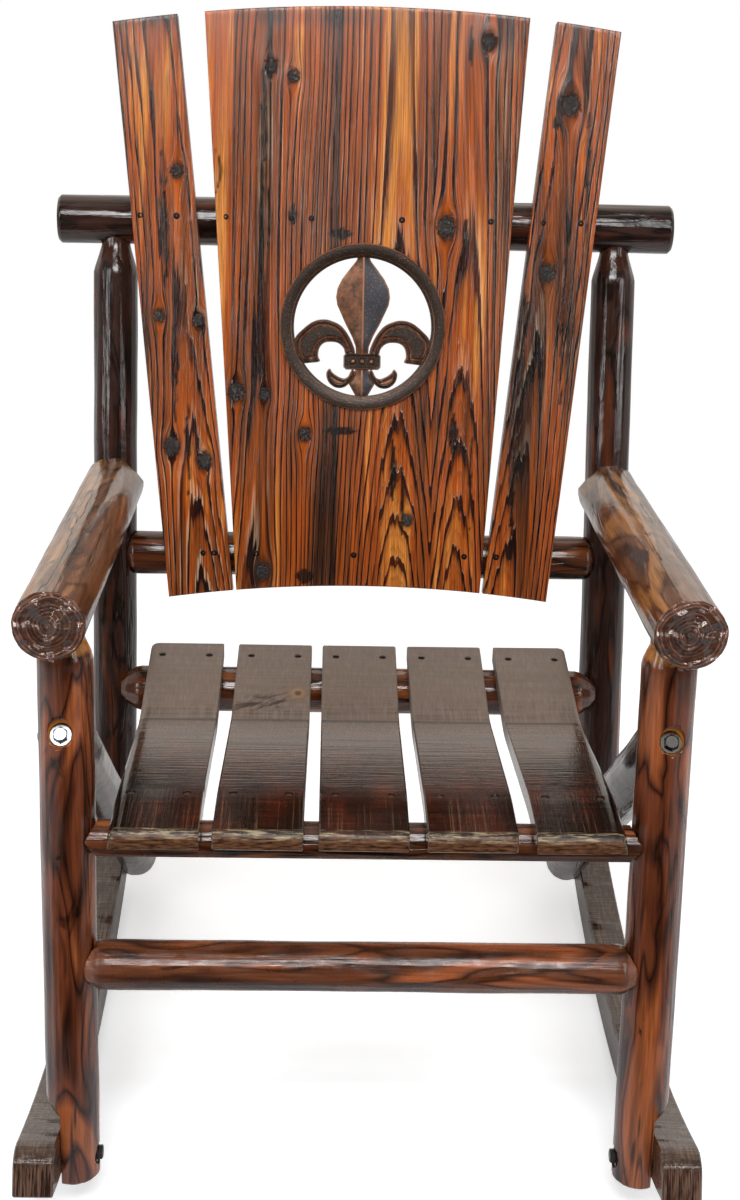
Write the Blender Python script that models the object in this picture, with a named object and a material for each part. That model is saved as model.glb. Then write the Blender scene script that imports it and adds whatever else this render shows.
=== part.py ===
"""Log rocking chair, built from logs, sawn boards and bolts.

Each side is a frame of three logs on a sawn rocker: an upright front leg, a raked
rear post, and a brace that runs from the leg down to the rocker and carries the post.
Coped rails join the two frames. Five shaped slats make the seat, and a fan of three
boards round a cast medallion makes the back.

Metres. The chair faces -Y, +X is on the viewer's right, and left means -X.
Depths are measured back from a line between the front legs at seat height.
"""

import math

import bmesh
import bpy
from mathutils import Matrix, Vector

SIDES = (("left", -1), ("right", 1))

# Fit between touching pieces, and how finely round shapes are cut
CLEARANCE = 0.0003
LOG_SIDES = 24
CUT_SIDES = 32
EDGE_BEVEL = 0.0015
LOG_END_SOFTNESS = 0.003
# How far a cutter runs past what it cuts
REACH = 0.06

# Rockers: a plank cut on two arcs about one centre
ROCKER_RADIUS = 1.230
ROCKER_DEPTH = 0.047
ROCKER_THICKNESS = 0.0394
ROCKER_INNER_X = 0.2956
ROCKER_LOW_Y = 0.294
ROCKER_STEP = math.radians(1.69)
ROCKER_STEPS_AHEAD = 11
ROCKER_STEPS_BEHIND = 13
ROCKER_NOSE_RADIUS = 0.022

# Front legs
LEG_RADIUS = 0.027
LEG_FOOT = Vector((0.2862, -0.0378, 0.0375))
LEG_LEAN = math.radians(5.25)
LEG_SPLAY = math.radians(-0.45)
LEG_NOTCH_HEIGHT = 0.080
LEG_NOTCH_SHOULDER = 0.022
LEG_TOP_RADIUS = 0.019
LEG_TOP_TAPER = 0.018

# Armrests
ARM_RADIUS = 0.0357
ARM_FRONT = Vector((0.287, -0.052, 0.6468))
ARM_SLOPE = math.radians(4.4)
ARM_TOE_IN = math.radians(0.4)
ARM_FLAT = 0.0045
ARM_WRAP = 0.010
ARM_FACET = 0.011
ARM_FACET_ROLL = math.radians(52)
ARM_FACET_DIP = math.radians(3)

# Side braces
BRACE_RADIUS = 0.028
BRACE_X = 0.2853
BRACE_TOP_Z = 0.513
BRACE_ANGLE = math.radians(40.1)
BRACE_NOTCH_LENGTH = 0.120
BRACE_NOTCH_SHOULDER = 0.010
BRACE_PAST_ROCKER = 0.008

# Rear posts
POST_RADIUS = 0.0257
POST_X = 0.2848
POST_SEAT_Y = 0.4158
POST_SEAT_Z = 0.450
POST_LEAN = math.radians(14.9)
TENON_RADIUS = 0.0170
TENON_TAPER = 0.028
TENON_SHOW = 0.002
TENON_PAST_AXIS = 0.006

# Rails of the back, placed up the posts from the seat line
BACK_RAIL_RADIUS = 0.028
BACK_RAIL_UP = 0.0793
TOP_RAIL_UP = 0.4598
TOP_RAIL_LENGTH = 0.698
BACK_RAIL_AHEAD = 0.006
BACK_RAIL_BED_MARGIN = 0.010

# Tips of the coped rails, which lap the uprights in front
RAIL_TIP_X = 0.2740
RAIL_TIP_RADIUS = 0.010
RAIL_SHOULDER_RADIUS = 0.019
RAIL_SHOULDER_LENGTH = 0.007
RAIL_TIP_LENGTH = 0.019

# Seat: the top line of a slat from front to rear
SEAT_FRONT = (-0.059, 0.4425)
SEAT_BEND = (0.018, 0.4425)
SEAT_KINK = (0.245, 0.4105)
SEAT_REAR = (0.393, 0.4306)
SLAT_BEND_LENGTH = 0.040
SLAT_THICKNESS = 0.0185
SLAT_CHAMFER = 0.005
SLAT_WIDTH = 0.0848
SLAT_PITCH = 0.0995
SLAT_COUNT = 5
SLAT_OUTER_ROUND = 0.009
# How far each slat was nailed from its even place, at its front and its rear end
SLAT_DRIFT = ((0.0015, 0.0), (-0.001, 0.0025), (-0.0015, 0.0), (0.0005, -0.0015), (0.0033, -0.001))

# Seat rails and stretcher
FRONT_RAIL_RADIUS = 0.029
FRONT_RAIL_Y = -0.006
FRONT_RAIL_FLAT = 0.024
REAR_RAIL_RADIUS = 0.0267
REAR_RAIL_Y = 0.3706
REAR_RAIL_FLAT = 0.0015
STRETCHER_RADIUS = 0.0249
STRETCHER_Z = 0.2746
STRETCHER_AHEAD = 0.007

# Back boards, measured along the back from its own foot line
BACK_FOOT_UP = 0.0413
BACK_SHIFT = -0.003
BOARD_THICKNESS = 0.020
BOARD_TOP = 0.6528
BOARD_TOP_RADIUS = 1.80
BOARD_BOTTOM = 0.0072
BOARD_BOTTOM_RADIUS = 1.50
CENTRE_HALF_BOTTOM = 0.1390
CENTRE_HALF_TOP = 0.1800
SIDE_BOARD_BOTTOM = (0.1425, 0.2155)
SIDE_BOARD_TOP = (0.2100, 0.2815)
BOARD_ARC_STEPS = 10

# Medallion
MEDALLION_UP = 0.301
MEDALLION_RADIUS = 0.093
MEDALLION_INNER = 0.077
MEDALLION_HOLE = 0.084
MEDALLION_THICKNESS = 0.006
MEDALLION_SIDES = 48

# The medallion's figure as (across, up), on a grid of 100 steps to its radius.
# The blade's line is its right half from the top down, the others are the right-hand ones.
BLADE = (
    (6.5, 84.5), (9, 78.5), (16.5, 69), (25.5, 57), (31, 46), (32.5, 35.5), (31, 26), (25.5, 14),
    (20.5, 3), (13, -11), (8, -23.5), (7, -41), (8.5, -54), (15.5, -69), (6.5, -84.5),
)
PETAL = (
    (8.5, -32.5), (14, -15), (24.5, 0), (36.5, 6.5), (47.5, 8.5), (60, 5.5), (73, -4.5),
    (81.5, -15), (81.5, -29), (74, -43.5), (61.5, -44), (51, -42), (53, -35.5), (51.5, -26),
    (46, -20), (37.5, -18.5), (29, -20), (22.5, -26), (19.5, -33.5),
)
CURL = (
    (12, -51.5), (17, -60), (22.5, -62), (30, -59), (35.5, -55), (39, -50.5), (43, -56),
    (41, -65.5), (34.5, -72), (27, -74), (19.5, -72), (13, -65.5), (7.5, -56),
)
BAND_HALF_WIDTH = 22.5
BAND_BOTTOM = -51.5
BAND_HEIGHT = 20
BEAD_RADIUS = 3.7
BEAD_SPACING = 11.2

# Each kind of part in the casting: back, front and sloped edge
RELIEF = {
    "blade": (0.0004, 0.0066, 0.0024),
    "petal": (0.0007, 0.0077, 0.0018),
    "curl": (0.0009, 0.0072, 0.0014),
    "band": (0.0002, 0.0086, 0.0013),
    "bead": (0.0020, 0.0102, 0.0014),
}

# Hardware
BOLT_RADIUS = 0.004
BOLT_HEAD_FLATS = 0.013
BOLT_HEAD_HEIGHT = 0.0055
WASHER_RADIUS = 0.010
WASHER_THICKNESS = 0.0016
COUNTERBORE_MARGIN = 0.002
BRACE_BOLT_LENGTH = 0.110
BRACE_BOLT_DROP = 0.008
BRACE_BOLT_DEPTH = 0.012
LEG_BOLT_Z = 0.060
SIDE_BOLT_LENGTH = 0.055
SIDE_BOLT_SUNK = 0.0045
POST_BOLT_LENGTH = 0.090
POST_BOLT_SUNK = 0.010
SCREW_RADIUS = 0.0020
SCREW_HEAD_RADIUS = 0.0038
SCREW_HEAD_DEPTH = 0.0030
SCREW_LENGTH = 0.032
SCREW_SUNK = 0.0012
SCREW_SIDES = 12
SLAT_SCREW_SPREAD = 0.0536
FRONT_SCREW_Y = 0.017

ROCKER_HALF_STEP = ROCKER_STEP / 2
ROCKER_CENTRE_Z = ROCKER_RADIUS * math.cos(ROCKER_HALF_STEP)
ROCKER_FRONT_ANGLE = ROCKER_HALF_STEP + ROCKER_STEPS_AHEAD * ROCKER_STEP
ROCKER_REAR_ANGLE = ROCKER_HALF_STEP + ROCKER_STEPS_BEHIND * ROCKER_STEP
FRONT_Y = ROCKER_LOW_Y - ROCKER_RADIUS * math.sin(ROCKER_FRONT_ANGLE)
REAR_Y = ROCKER_LOW_Y + ROCKER_RADIUS * math.sin(ROCKER_REAR_ANGLE)
CENTRE_Y = (FRONT_Y + REAR_Y) / 2

WOOD = {
    "log_dark": ("5A2E1C", 0.30, 0.0),
    "log_red": ("7A3F22", 0.30, 0.0),
    "board": ("A5582B", 0.32, 0.0),
    "slat": ("53382B", 0.35, 0.0),
    "rocker": ("4A342A", 0.40, 0.0),
}
METAL = {
    "bronze": ("4A3A2A", 0.45, 0.8),
    "zinc": ("C8CACC", 0.30, 1.0),
    "black_steel": ("2A2724", 0.45, 0.9),
}


def clear_scene():
    for obj in list(bpy.data.objects):
        bpy.data.objects.remove(obj, do_unlink=True)


def linear(channel):
    return channel / 12.92 if channel <= 0.04045 else ((channel + 0.055) / 1.055) ** 2.4


def make_finishes():
    finishes = {}
    for name, (colour, roughness, metallic) in {**WOOD, **METAL}.items():
        finish = bpy.data.materials.new(name)
        finish.use_nodes = True
        shader = finish.node_tree.nodes["Principled BSDF"]
        rgb = [linear(int(colour[i : i + 2], 16) / 255) for i in (0, 2, 4)]
        shader.inputs["Base Color"].default_value = (*rgb, 1)
        shader.inputs["Roughness"].default_value = roughness
        shader.inputs["Metallic"].default_value = metallic
        finishes[name] = finish
    return finishes


clear_scene()
FINISH = make_finishes()
CHAIR = bpy.data.objects.new("rocking_chair", None)
CHAIR.location = (0, -CENTRE_Y, 0)
bpy.context.scene.collection.objects.link(CHAIR)


def place(name, mesh, finish):
    """A piece under the chair's own empty."""
    obj = bpy.data.objects.new(name, mesh)
    bpy.context.scene.collection.objects.link(obj)
    obj.parent = CHAIR
    if finish:
        mesh.materials.append(FINISH[finish])
        mesh.shade_smooth()
        mesh.set_sharp_from_angle(angle=math.radians(35))
    else:
        obj.hide_render = True
        obj.display_type = "WIRE"
    return obj


def aim(obj, start, end):
    """Puts a piece modelled up its own Z on the line from start to end."""
    obj.location = start
    obj.rotation_euler = (end - start).to_track_quat("Z", "Y").to_euler()
    return obj


def skin(name, loops, finish):
    """A closed solid through rings of equal count."""
    mesh = bpy.data.meshes.new(name)
    shape = bmesh.new()
    rings = [[shape.verts.new(point) for point in loop] for loop in loops]
    for lower, upper in zip(rings, rings[1:]):
        for i, vert in enumerate(lower):
            j = (i + 1) % len(lower)
            shape.faces.new((vert, lower[j], upper[j], upper[i]))
    shape.faces.new(reversed(rings[0]))
    shape.faces.new(rings[-1])
    bmesh.ops.recalc_face_normals(shape, faces=shape.faces)
    shape.to_mesh(mesh)
    shape.free()
    return place(name, mesh, finish)


def ring(radius, height, sides, corners=0):
    """Points round Z; with corners, radius is half of a polygon's width across flats."""
    points = []
    for i in range(sides):
        angle = math.tau * i / sides
        reach = radius
        if corners:
            wedge = math.tau / corners
            reach = radius / math.cos((angle + wedge / 2) % wedge - wedge / 2)
        points.append(Vector((reach * math.cos(angle), reach * math.sin(angle), height)))
    return points


def turned(name, start, end, profile, finish, sides=LOG_SIDES):
    """A log or pin: profile gives (distance along, radius)."""
    loops = [ring(radius, along, sides) for along, radius in profile]
    return aim(skin(name, loops, finish), start, end)


def log_profile(length, radius):
    """A plain log with slightly softened ends."""
    end = radius - LOG_END_SOFTNESS
    return ((0, end), (LOG_END_SOFTNESS, radius), (length - LOG_END_SOFTNESS, radius), (length, end))


def round_cutter(name, start, end, radius):
    """A hidden rod whose flats clear a round piece of this radius."""
    wide = (radius + CLEARANCE) / math.cos(math.pi / CUT_SIDES)
    length = (end - start).length
    return turned(name, start, end, ((0, wide), (length, wide)), None, CUT_SIDES)


def prism(name, outline, thickness, finish, rounded=None):
    """An outline in X and Y raised along Z; rounded is (first, last, side) of a softened edge."""
    mesh = bpy.data.meshes.new(name)
    shape = bmesh.new()
    levels = [[shape.verts.new((x, y, z)) for x, y in outline] for z in (0, thickness)]
    for i, vert in enumerate(levels[0]):
        j = (i + 1) % len(outline)
        shape.faces.new((vert, levels[0][j], levels[1][j], levels[1][i]))
    shape.faces.new(reversed(levels[0]))
    shape.faces.new(levels[1])
    if rounded:
        first, last, side = rounded
        weight = shape.edges.layers.float.new("bevel_weight_edge")
        for i in range(first, last):
            edge = shape.edges.get((levels[side][i], levels[side][i + 1]))
            edge[weight] = 1.0
    bmesh.ops.recalc_face_normals(shape, faces=shape.faces)
    shape.to_mesh(mesh)
    shape.free()
    return place(name, mesh, finish)


def soften(obj, width=EDGE_BEVEL, by_weight=False, segments=1):
    bevel = obj.modifiers.new("edges", "BEVEL")
    bevel.width = width
    bevel.segments = segments
    bevel.limit_method = "WEIGHT" if by_weight else "ANGLE"
    bevel.angle_limit = math.radians(40)
    bevel.use_clamp_overlap = True


def cut(obj, *cutters):
    for cutter in cutters:
        boolean = obj.modifiers.new(cutter.name, "BOOLEAN")
        boolean.operation = "DIFFERENCE"
        boolean.object = cutter


def mirrored(point, side):
    return Vector((side * point[0], point[1], point[2]))


# Lines and places that several pieces share


def leg_line(side):
    """Foot and direction of a front leg."""
    rise = Vector((side * math.sin(LEG_SPLAY), math.sin(LEG_LEAN), math.cos(LEG_LEAN)))
    return mirrored(LEG_FOOT, side), rise.normalized()


def leg_point(side, height):
    foot, rise = leg_line(side)
    return foot + rise * ((height - foot.z) / rise.z)


def post_point(side, up):
    """A place on a rear post's axis, at a distance up from the seat line."""
    return Vector(
        (
            side * POST_X,
            POST_SEAT_Y + up * math.sin(POST_LEAN),
            POST_SEAT_Z + up * math.cos(POST_LEAN),
        )
    )


def arm_line(side):
    run = Vector((-side * math.tan(ARM_TOE_IN), math.cos(ARM_SLOPE), -math.sin(ARM_SLOPE)))
    return mirrored(ARM_FRONT, side), run.normalized()


def brace_top(side):
    """Where a brace's axis meets its leg's."""
    leg = leg_point(side, BRACE_TOP_Z)
    return Vector((side * BRACE_X, leg.y, leg.z))


BRACE_RUN = Vector((0, math.cos(BRACE_ANGLE), -math.sin(BRACE_ANGLE)))
POST_RISE = Vector((0, math.sin(POST_LEAN), math.cos(POST_LEAN)))
BACK_AHEAD = Vector((0, -math.cos(POST_LEAN), math.sin(POST_LEAN)))


def brace_length():
    """To where the brace's axis meets the middle arc of the rocker."""
    top = brace_top(1)
    middle = ROCKER_RADIUS - ROCKER_DEPTH / 2
    offset_y = top.y - ROCKER_LOW_Y
    offset_z = top.z - ROCKER_CENTRE_Z
    half = offset_y * BRACE_RUN.y + offset_z * BRACE_RUN.z
    rest = offset_y**2 + offset_z**2 - middle**2
    return -half + math.sqrt(half**2 - rest) + BRACE_PAST_ROCKER


def post_foot(side):
    """Where a post's axis crosses the axis of the brace under it."""
    top = brace_top(side)
    post = post_point(side, 0)
    across = Vector((0, -BRACE_RUN.z, BRACE_RUN.y))
    along = (top - post).dot(across) / POST_RISE.dot(across)
    return post + POST_RISE * along


def rocker_height(y, inset=0.0):
    """Height of the rocker's arc at a depth, inset from its lower face."""
    radius = ROCKER_RADIUS - inset
    return ROCKER_CENTRE_Z - math.sqrt(radius**2 - (y - ROCKER_LOW_Y) ** 2)


def seat_top_line():
    """Points of a slat's top from front to rear, with its two bends eased."""
    half = SLAT_BEND_LENGTH / 2
    points = [Vector(SEAT_FRONT)]
    for before, corner, after in (
        (SEAT_FRONT, SEAT_BEND, SEAT_KINK),
        (SEAT_BEND, SEAT_KINK, SEAT_REAR),
    ):
        corner = Vector(corner)
        start = corner + (Vector(before) - corner).normalized() * half
        end = corner + (Vector(after) - corner).normalized() * half
        for step in range(4):
            share = step / 3
            points.append(start.lerp(corner, share).lerp(corner.lerp(end, share), share))
    points.append(Vector(SEAT_REAR))
    return points


def offset_down(points, distance):
    """The same line moved square to itself by a distance."""
    moved = []
    for i, point in enumerate(points):
        before = points[max(i - 1, 0)]
        after = points[min(i + 1, len(points) - 1)]
        run = (after - before).normalized()
        moved.append(point + Vector((run.y, -run.x)) * distance)
    return moved


def seat_underside(y):
    """Height and slope of the slats' underside at a depth."""
    line = offset_down(seat_top_line(), SLAT_THICKNESS)
    for before, after in zip(line, line[1:]):
        if before.x <= y <= after.x:
            slope = (after.y - before.y) / (after.x - before.x)
            return before.y + slope * (y - before.x), math.atan(slope)
    return line[-1].y, 0.0


def rail_axis_under_seat(y, radius, flat):
    """Height of a seat rail whose planed flat touches the slats."""
    height, slope = seat_underside(y)
    return height - (radius - flat + CLEARANCE) / math.cos(slope)


def front_rail_height():
    return rail_axis_under_seat(FRONT_RAIL_Y, FRONT_RAIL_RADIUS, FRONT_RAIL_FLAT)


def rear_rail_height():
    return rail_axis_under_seat(REAR_RAIL_Y, REAR_RAIL_RADIUS, REAR_RAIL_FLAT)


# Cutters that give each joint its shape


def leg_cutter(name, side):
    return round_cutter(name, leg_point(side, 0), leg_point(side, BRACE_TOP_Z + REACH), LEG_RADIUS)


def post_cutter(name, side):
    foot = post_foot(side) - POST_RISE * REACH
    return round_cutter(name, foot, post_point(side, TOP_RAIL_UP - REACH), POST_RADIUS)


def rocker_side_cutter(name, side, top, shoulder, span):
    """A block outside the rocker's inner face, with a sloped shoulder on top; span is in depth."""
    inner = ROCKER_INNER_X - CLEARANCE
    outer = inner + REACH
    slope = shoulder / LEG_RADIUS
    outline = ((inner, -REACH), (outer, -REACH), (outer, top + slope * REACH), (inner, top))
    loops = [[Vector((side * x, y, z)) for x, z in outline] for y in span]
    return skin(name, loops, None)


def slab_cutter(name, front, rear):
    """A block above its own XY plane, which planes a flat along Y."""
    outline = ((-REACH, 0), (REACH, 0), (REACH, REACH), (-REACH, REACH))
    return skin(name, [[Vector((x, y, z)) for x, z in outline] for y in (front, rear)], None)


# Bolts and screws


def bolt(name, seat, direction, length):
    """A hex bolt and its washer; seat is where the washer bears."""
    head = BOLT_HEAD_FLATS / 2
    top = WASHER_THICKNESS + BOLT_HEAD_HEIGHT
    crown = EDGE_BEVEL / 2
    loops = [
        ring(BOLT_RADIUS, -length, LOG_SIDES),
        ring(BOLT_RADIUS, 0, LOG_SIDES),
        ring(WASHER_RADIUS, 0, LOG_SIDES),
        ring(WASHER_RADIUS, WASHER_THICKNESS, LOG_SIDES),
        ring(head, WASHER_THICKNESS, LOG_SIDES, 6),
        ring(head, top - crown, LOG_SIDES, 6),
        ring(head - crown, top, LOG_SIDES),
    ]
    obj = skin(name, loops, "zinc")
    return aim(obj, seat, seat - direction)


def bolt_hole(name, seat, direction, length):
    """A counterbore that opens outwards and a hole for the shank."""
    wide = (WASHER_RADIUS + COUNTERBORE_MARGIN) / math.cos(math.pi / CUT_SIDES)
    narrow = (BOLT_RADIUS + CLEARANCE) / math.cos(math.pi / CUT_SIDES)
    loops = [
        ring(narrow, -length - CLEARANCE, CUT_SIDES),
        ring(narrow, -CLEARANCE, CUT_SIDES),
        ring(wide, -CLEARANCE, CUT_SIDES),
        ring(wide, REACH, CUT_SIDES),
    ]
    return aim(skin(name, loops, None), seat, seat - direction)


def screw(name, top, into):
    """A countersunk wood screw whose flat top lies at a place."""
    loops = [
        ring(SCREW_RADIUS, -SCREW_LENGTH, SCREW_SIDES),
        ring(SCREW_RADIUS, -SCREW_HEAD_DEPTH, SCREW_SIDES),
        ring(SCREW_HEAD_RADIUS, 0, SCREW_SIDES),
    ]
    return aim(skin(name, loops, "black_steel"), top, top - into)


def screw_hole(name, top, into):
    grown = 1 / math.cos(math.pi / SCREW_SIDES)
    shank = (SCREW_RADIUS + CLEARANCE) * grown
    head = (SCREW_HEAD_RADIUS + CLEARANCE) * grown
    loops = [
        ring(shank, -SCREW_LENGTH - CLEARANCE, SCREW_SIDES),
        ring(shank, -SCREW_HEAD_DEPTH - CLEARANCE, SCREW_SIDES),
        ring(head, -CLEARANCE, SCREW_SIDES),
        ring(head, REACH, SCREW_SIDES),
    ]
    return aim(skin(name, loops, None), top, top - into)


# Pieces


def make_rocker(word, side):
    """Two arcs about one centre, a rounded nose and tail."""
    outer = ROCKER_RADIUS
    inner = ROCKER_RADIUS - ROCKER_DEPTH

    def on_arc(radius, angle):
        return (ROCKER_LOW_Y + radius * math.sin(angle), ROCKER_CENTRE_Z - radius * math.cos(angle))

    steps = range(-ROCKER_STEPS_AHEAD, ROCKER_STEPS_BEHIND + 2)
    edges = [(step - 0.5) * ROCKER_STEP for step in steps]
    outline = [on_arc(outer, angle) for angle in edges]
    turn = ROCKER_NOSE_RADIUS / inner
    first = edges[0]
    last = edges[-1]
    for end, inward in ((last, -1), (first, 1)):
        for step in range(5):
            share = math.pi / 2 * step / 4
            if end == first:
                share = math.pi / 2 - share
            drop = ROCKER_NOSE_RADIUS * (1 - math.sin(share))
            back = turn * (1 - math.cos(share))
            outline.append(on_arc(inner + drop, end + inward * back))
        if end == last:
            tops = [angle for angle in reversed(edges) if first + turn < angle < last - turn]
            outline += [on_arc(inner, angle) for angle in tops]
    obj = prism(f"rocker_{word}", outline, ROCKER_THICKNESS, "rocker")
    obj.rotation_euler = (math.pi / 2, 0, math.pi / 2)
    left_face = ROCKER_INNER_X if side > 0 else -ROCKER_INNER_X - ROCKER_THICKNESS
    obj.location.x = left_face
    soften(obj)
    return obj


def make_front_leg(word, side):
    foot, rise = leg_line(side)
    arm_start, arm_run = arm_line(side)
    reach = (foot.y + rise.y * 0.58 - arm_start.y) / arm_run.y
    arm_height = (arm_start + arm_run * reach).z
    under_arm = (arm_height - ARM_RADIUS - foot.z) / rise.z
    profile = (
        (0, LEG_RADIUS - LOG_END_SOFTNESS),
        (LOG_END_SOFTNESS, LEG_RADIUS),
        (under_arm - LEG_TOP_TAPER, LEG_RADIUS),
        (under_arm, LEG_TOP_RADIUS),
        (under_arm + ARM_RADIUS * 0.75, LEG_TOP_RADIUS),
    )
    leg = turned(f"front_leg_{word}", foot, foot + rise, profile, "log_red")
    arm_room = round_cutter(
        f"cut_leg_top_{word}", arm_start - arm_run * REACH, arm_start + arm_run * REACH * 3, ARM_RADIUS
    )
    notch = rocker_side_cutter(
        f"cut_leg_notch_{word}",
        side,
        foot.z + LEG_NOTCH_HEIGHT,
        LEG_NOTCH_SHOULDER,
        (foot.y - REACH, foot.y + REACH),
    )
    cut(leg, arm_room, notch)
    return leg


def make_brace(word, side):
    top = brace_top(side)
    start = top + BRACE_RUN * (LEG_RADIUS / 2)
    end = top + BRACE_RUN * brace_length()
    profile = log_profile((end - start).length, BRACE_RADIUS)
    brace = turned(f"side_brace_{word}", start, end, profile, "log_dark")
    leg = leg_cutter(f"cut_brace_top_{word}", side)
    notch_start = end - BRACE_RUN * BRACE_NOTCH_LENGTH
    notch = rocker_side_cutter(
        f"cut_brace_notch_{word}",
        side,
        notch_start.z,
        BRACE_NOTCH_SHOULDER,
        (notch_start.y - REACH, end.y + REACH),
    )
    cut(brace, leg, notch)
    return brace


def make_post(word, side):
    foot = post_foot(side)
    top = post_point(side, TOP_RAIL_UP)
    rail_under = (top - foot).length - BACK_RAIL_RADIUS
    length = (top - foot).length + TENON_PAST_AXIS
    profile = (
        (0, POST_RADIUS),
        (rail_under - TENON_SHOW - TENON_TAPER, POST_RADIUS),
        (rail_under - TENON_SHOW, TENON_RADIUS),
        (length, TENON_RADIUS),
    )
    post = turned(f"rear_post_{word}", foot, foot + POST_RISE, profile, "log_dark")
    brace_end = brace_top(side)
    room = round_cutter(
        f"cut_post_foot_{word}", brace_end, brace_end + BRACE_RUN * brace_length(), BRACE_RADIUS
    )
    cut(post, room)
    return post


def make_armrest(word, side):
    start, run = arm_line(side)
    post = post_point(side, 0)
    rise = (start.z - post.z) / POST_RISE.z
    axis_y = (post + POST_RISE * rise).y
    length = (axis_y - start.y) / run.y - (POST_RADIUS - ARM_WRAP)
    profile = ((0, ARM_RADIUS - LOG_END_SOFTNESS), (LOG_END_SOFTNESS, ARM_RADIUS), (length, ARM_RADIUS))
    arm = turned(f"armrest_{word}", start, start + run, profile, "log_red", CUT_SIDES)
    room = post_cutter(f"cut_arm_rear_{word}", side)
    flat = slab_cutter(f"cut_arm_flat_{word}", -REACH, length + REACH)
    flat.rotation_euler = (-ARM_SLOPE, 0, 0)
    flat.location = start + Vector((0, math.sin(ARM_SLOPE), math.cos(ARM_SLOPE))) * (ARM_RADIUS - ARM_FLAT)
    facet = slab_cutter(f"cut_arm_facet_{word}", -length / 2, REACH)
    facet.rotation_euler = (-ARM_SLOPE - ARM_FACET_DIP, -side * ARM_FACET_ROLL, side * ARM_FACET_DIP)
    square = Vector((-side * math.sin(ARM_FACET_ROLL), 0, math.cos(ARM_FACET_ROLL)))
    facet.location = start + run * length + square * (ARM_RADIUS - ARM_FACET)
    cut(arm, room, flat, facet)
    return arm


def make_rail(name, middle, radius, tip_x, finish, cutters):
    """A log across the chair whose tapered tips lap the uprights in front."""
    end = Vector((tip_x, middle[1], middle[2]))
    start = Vector((-tip_x, middle[1], middle[2]))
    length = tip_x * 2
    profile = (
        (0, RAIL_TIP_RADIUS),
        (RAIL_SHOULDER_LENGTH, RAIL_SHOULDER_RADIUS),
        (RAIL_TIP_LENGTH, radius),
        (length - RAIL_TIP_LENGTH, radius),
        (length - RAIL_SHOULDER_LENGTH, RAIL_SHOULDER_RADIUS),
        (length, RAIL_TIP_RADIUS),
    )
    rail = turned(name, start, end, profile, finish)
    cut(rail, *cutters)
    return rail


def make_seat_bed():
    """The space that the slats fill, for planing the rails' flats."""
    line = offset_down(seat_top_line(), SLAT_THICKNESS + CLEARANCE)
    outline = [tuple(point) for point in line]
    outline += [(line[-1].x, line[-1].y + REACH), (line[0].x, line[0].y + REACH)]
    bed = prism("cut_seat_bed", outline, TOP_RAIL_LENGTH, None)
    bed.rotation_euler = (math.pi / 2, 0, math.pi / 2)
    bed.location.x = -TOP_RAIL_LENGTH / 2
    return bed


def slat_centre(index, y):
    front, rear = SLAT_DRIFT[index]
    share = (y - SEAT_FRONT[0]) / (SEAT_REAR[0] - SEAT_FRONT[0])
    even = (index - (SLAT_COUNT - 1) / 2) * SLAT_PITCH
    return even + front + (rear - front) * share


def make_slat(index):
    top = seat_top_line()
    under = offset_down(top, SLAT_THICKNESS)
    face = Vector((SEAT_FRONT[0], SEAT_FRONT[1]))
    outline = [
        (face.x, face.y - SLAT_CHAMFER),
        (face.x + SLAT_CHAMFER, face.y),
    ]
    outline += [tuple(point) for point in top[1:]]
    outline += [tuple(point) for point in reversed(under)]
    rounded = None
    if index == 0:
        rounded = (0, len(top), 0)
    if index == SLAT_COUNT - 1:
        rounded = (0, len(top), 1)
    slat = prism(f"seat_slat_{index + 1}", outline, SLAT_WIDTH, "slat", rounded)
    slat.rotation_euler = (math.pi / 2, 0, math.pi / 2)
    front = slat_centre(index, SEAT_FRONT[0])
    rear = slat_centre(index, SEAT_REAR[0])
    yaw = math.atan2(front - rear, SEAT_REAR[0] - SEAT_FRONT[0])
    slat.rotation_euler.z += yaw
    slat.location = (
        slat_centre(index, 0) - SLAT_WIDTH / 2 * math.cos(yaw),
        -SLAT_WIDTH / 2 * math.sin(yaw),
        0,
    )
    if rounded:
        soften(slat, SLAT_OUTER_ROUND, True, 3)
    soften(slat)
    return slat


def back_frame():
    """Location and rotation of the boards' rear face, foot line at zero."""
    origin = post_point(0, BACK_FOOT_UP) + BACK_AHEAD * (BACK_RAIL_RADIUS + CLEARANCE)
    origin.x = BACK_SHIFT
    return origin, (math.pi / 2 - POST_LEAN, 0, 0)


def make_back_bed():
    """The space in front of the rail that the boards' feet fill."""
    half = SIDE_BOARD_BOTTOM[1] + BACK_RAIL_BED_MARGIN
    outline = ((-half, -REACH), (half, -REACH), (half, REACH * 2), (-half, REACH * 2))
    bed = skin("cut_back_bed", [[Vector((x, y, z)) for x, y in outline] for z in (-CLEARANCE, REACH)], None)
    bed.location, bed.rotation_euler = back_frame()
    return bed


def board_outline(low_left, low_right, top_left, top_right):
    """A board of the fan, its ends cut on the two arcs that all three share."""

    def top_of(x):
        return BOARD_TOP - x * x / (2 * BOARD_TOP_RADIUS)

    def bottom_of(x):
        return BOARD_BOTTOM - x * x / (2 * BOARD_BOTTOM_RADIUS)

    shares = [step / BOARD_ARC_STEPS for step in range(BOARD_ARC_STEPS + 1)]
    low = [low_left + (low_right - low_left) * share for share in shares]
    high = [top_right + (top_left - top_right) * share for share in shares]
    return [(x, bottom_of(x)) for x in low] + [(x, top_of(x)) for x in high]


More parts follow.
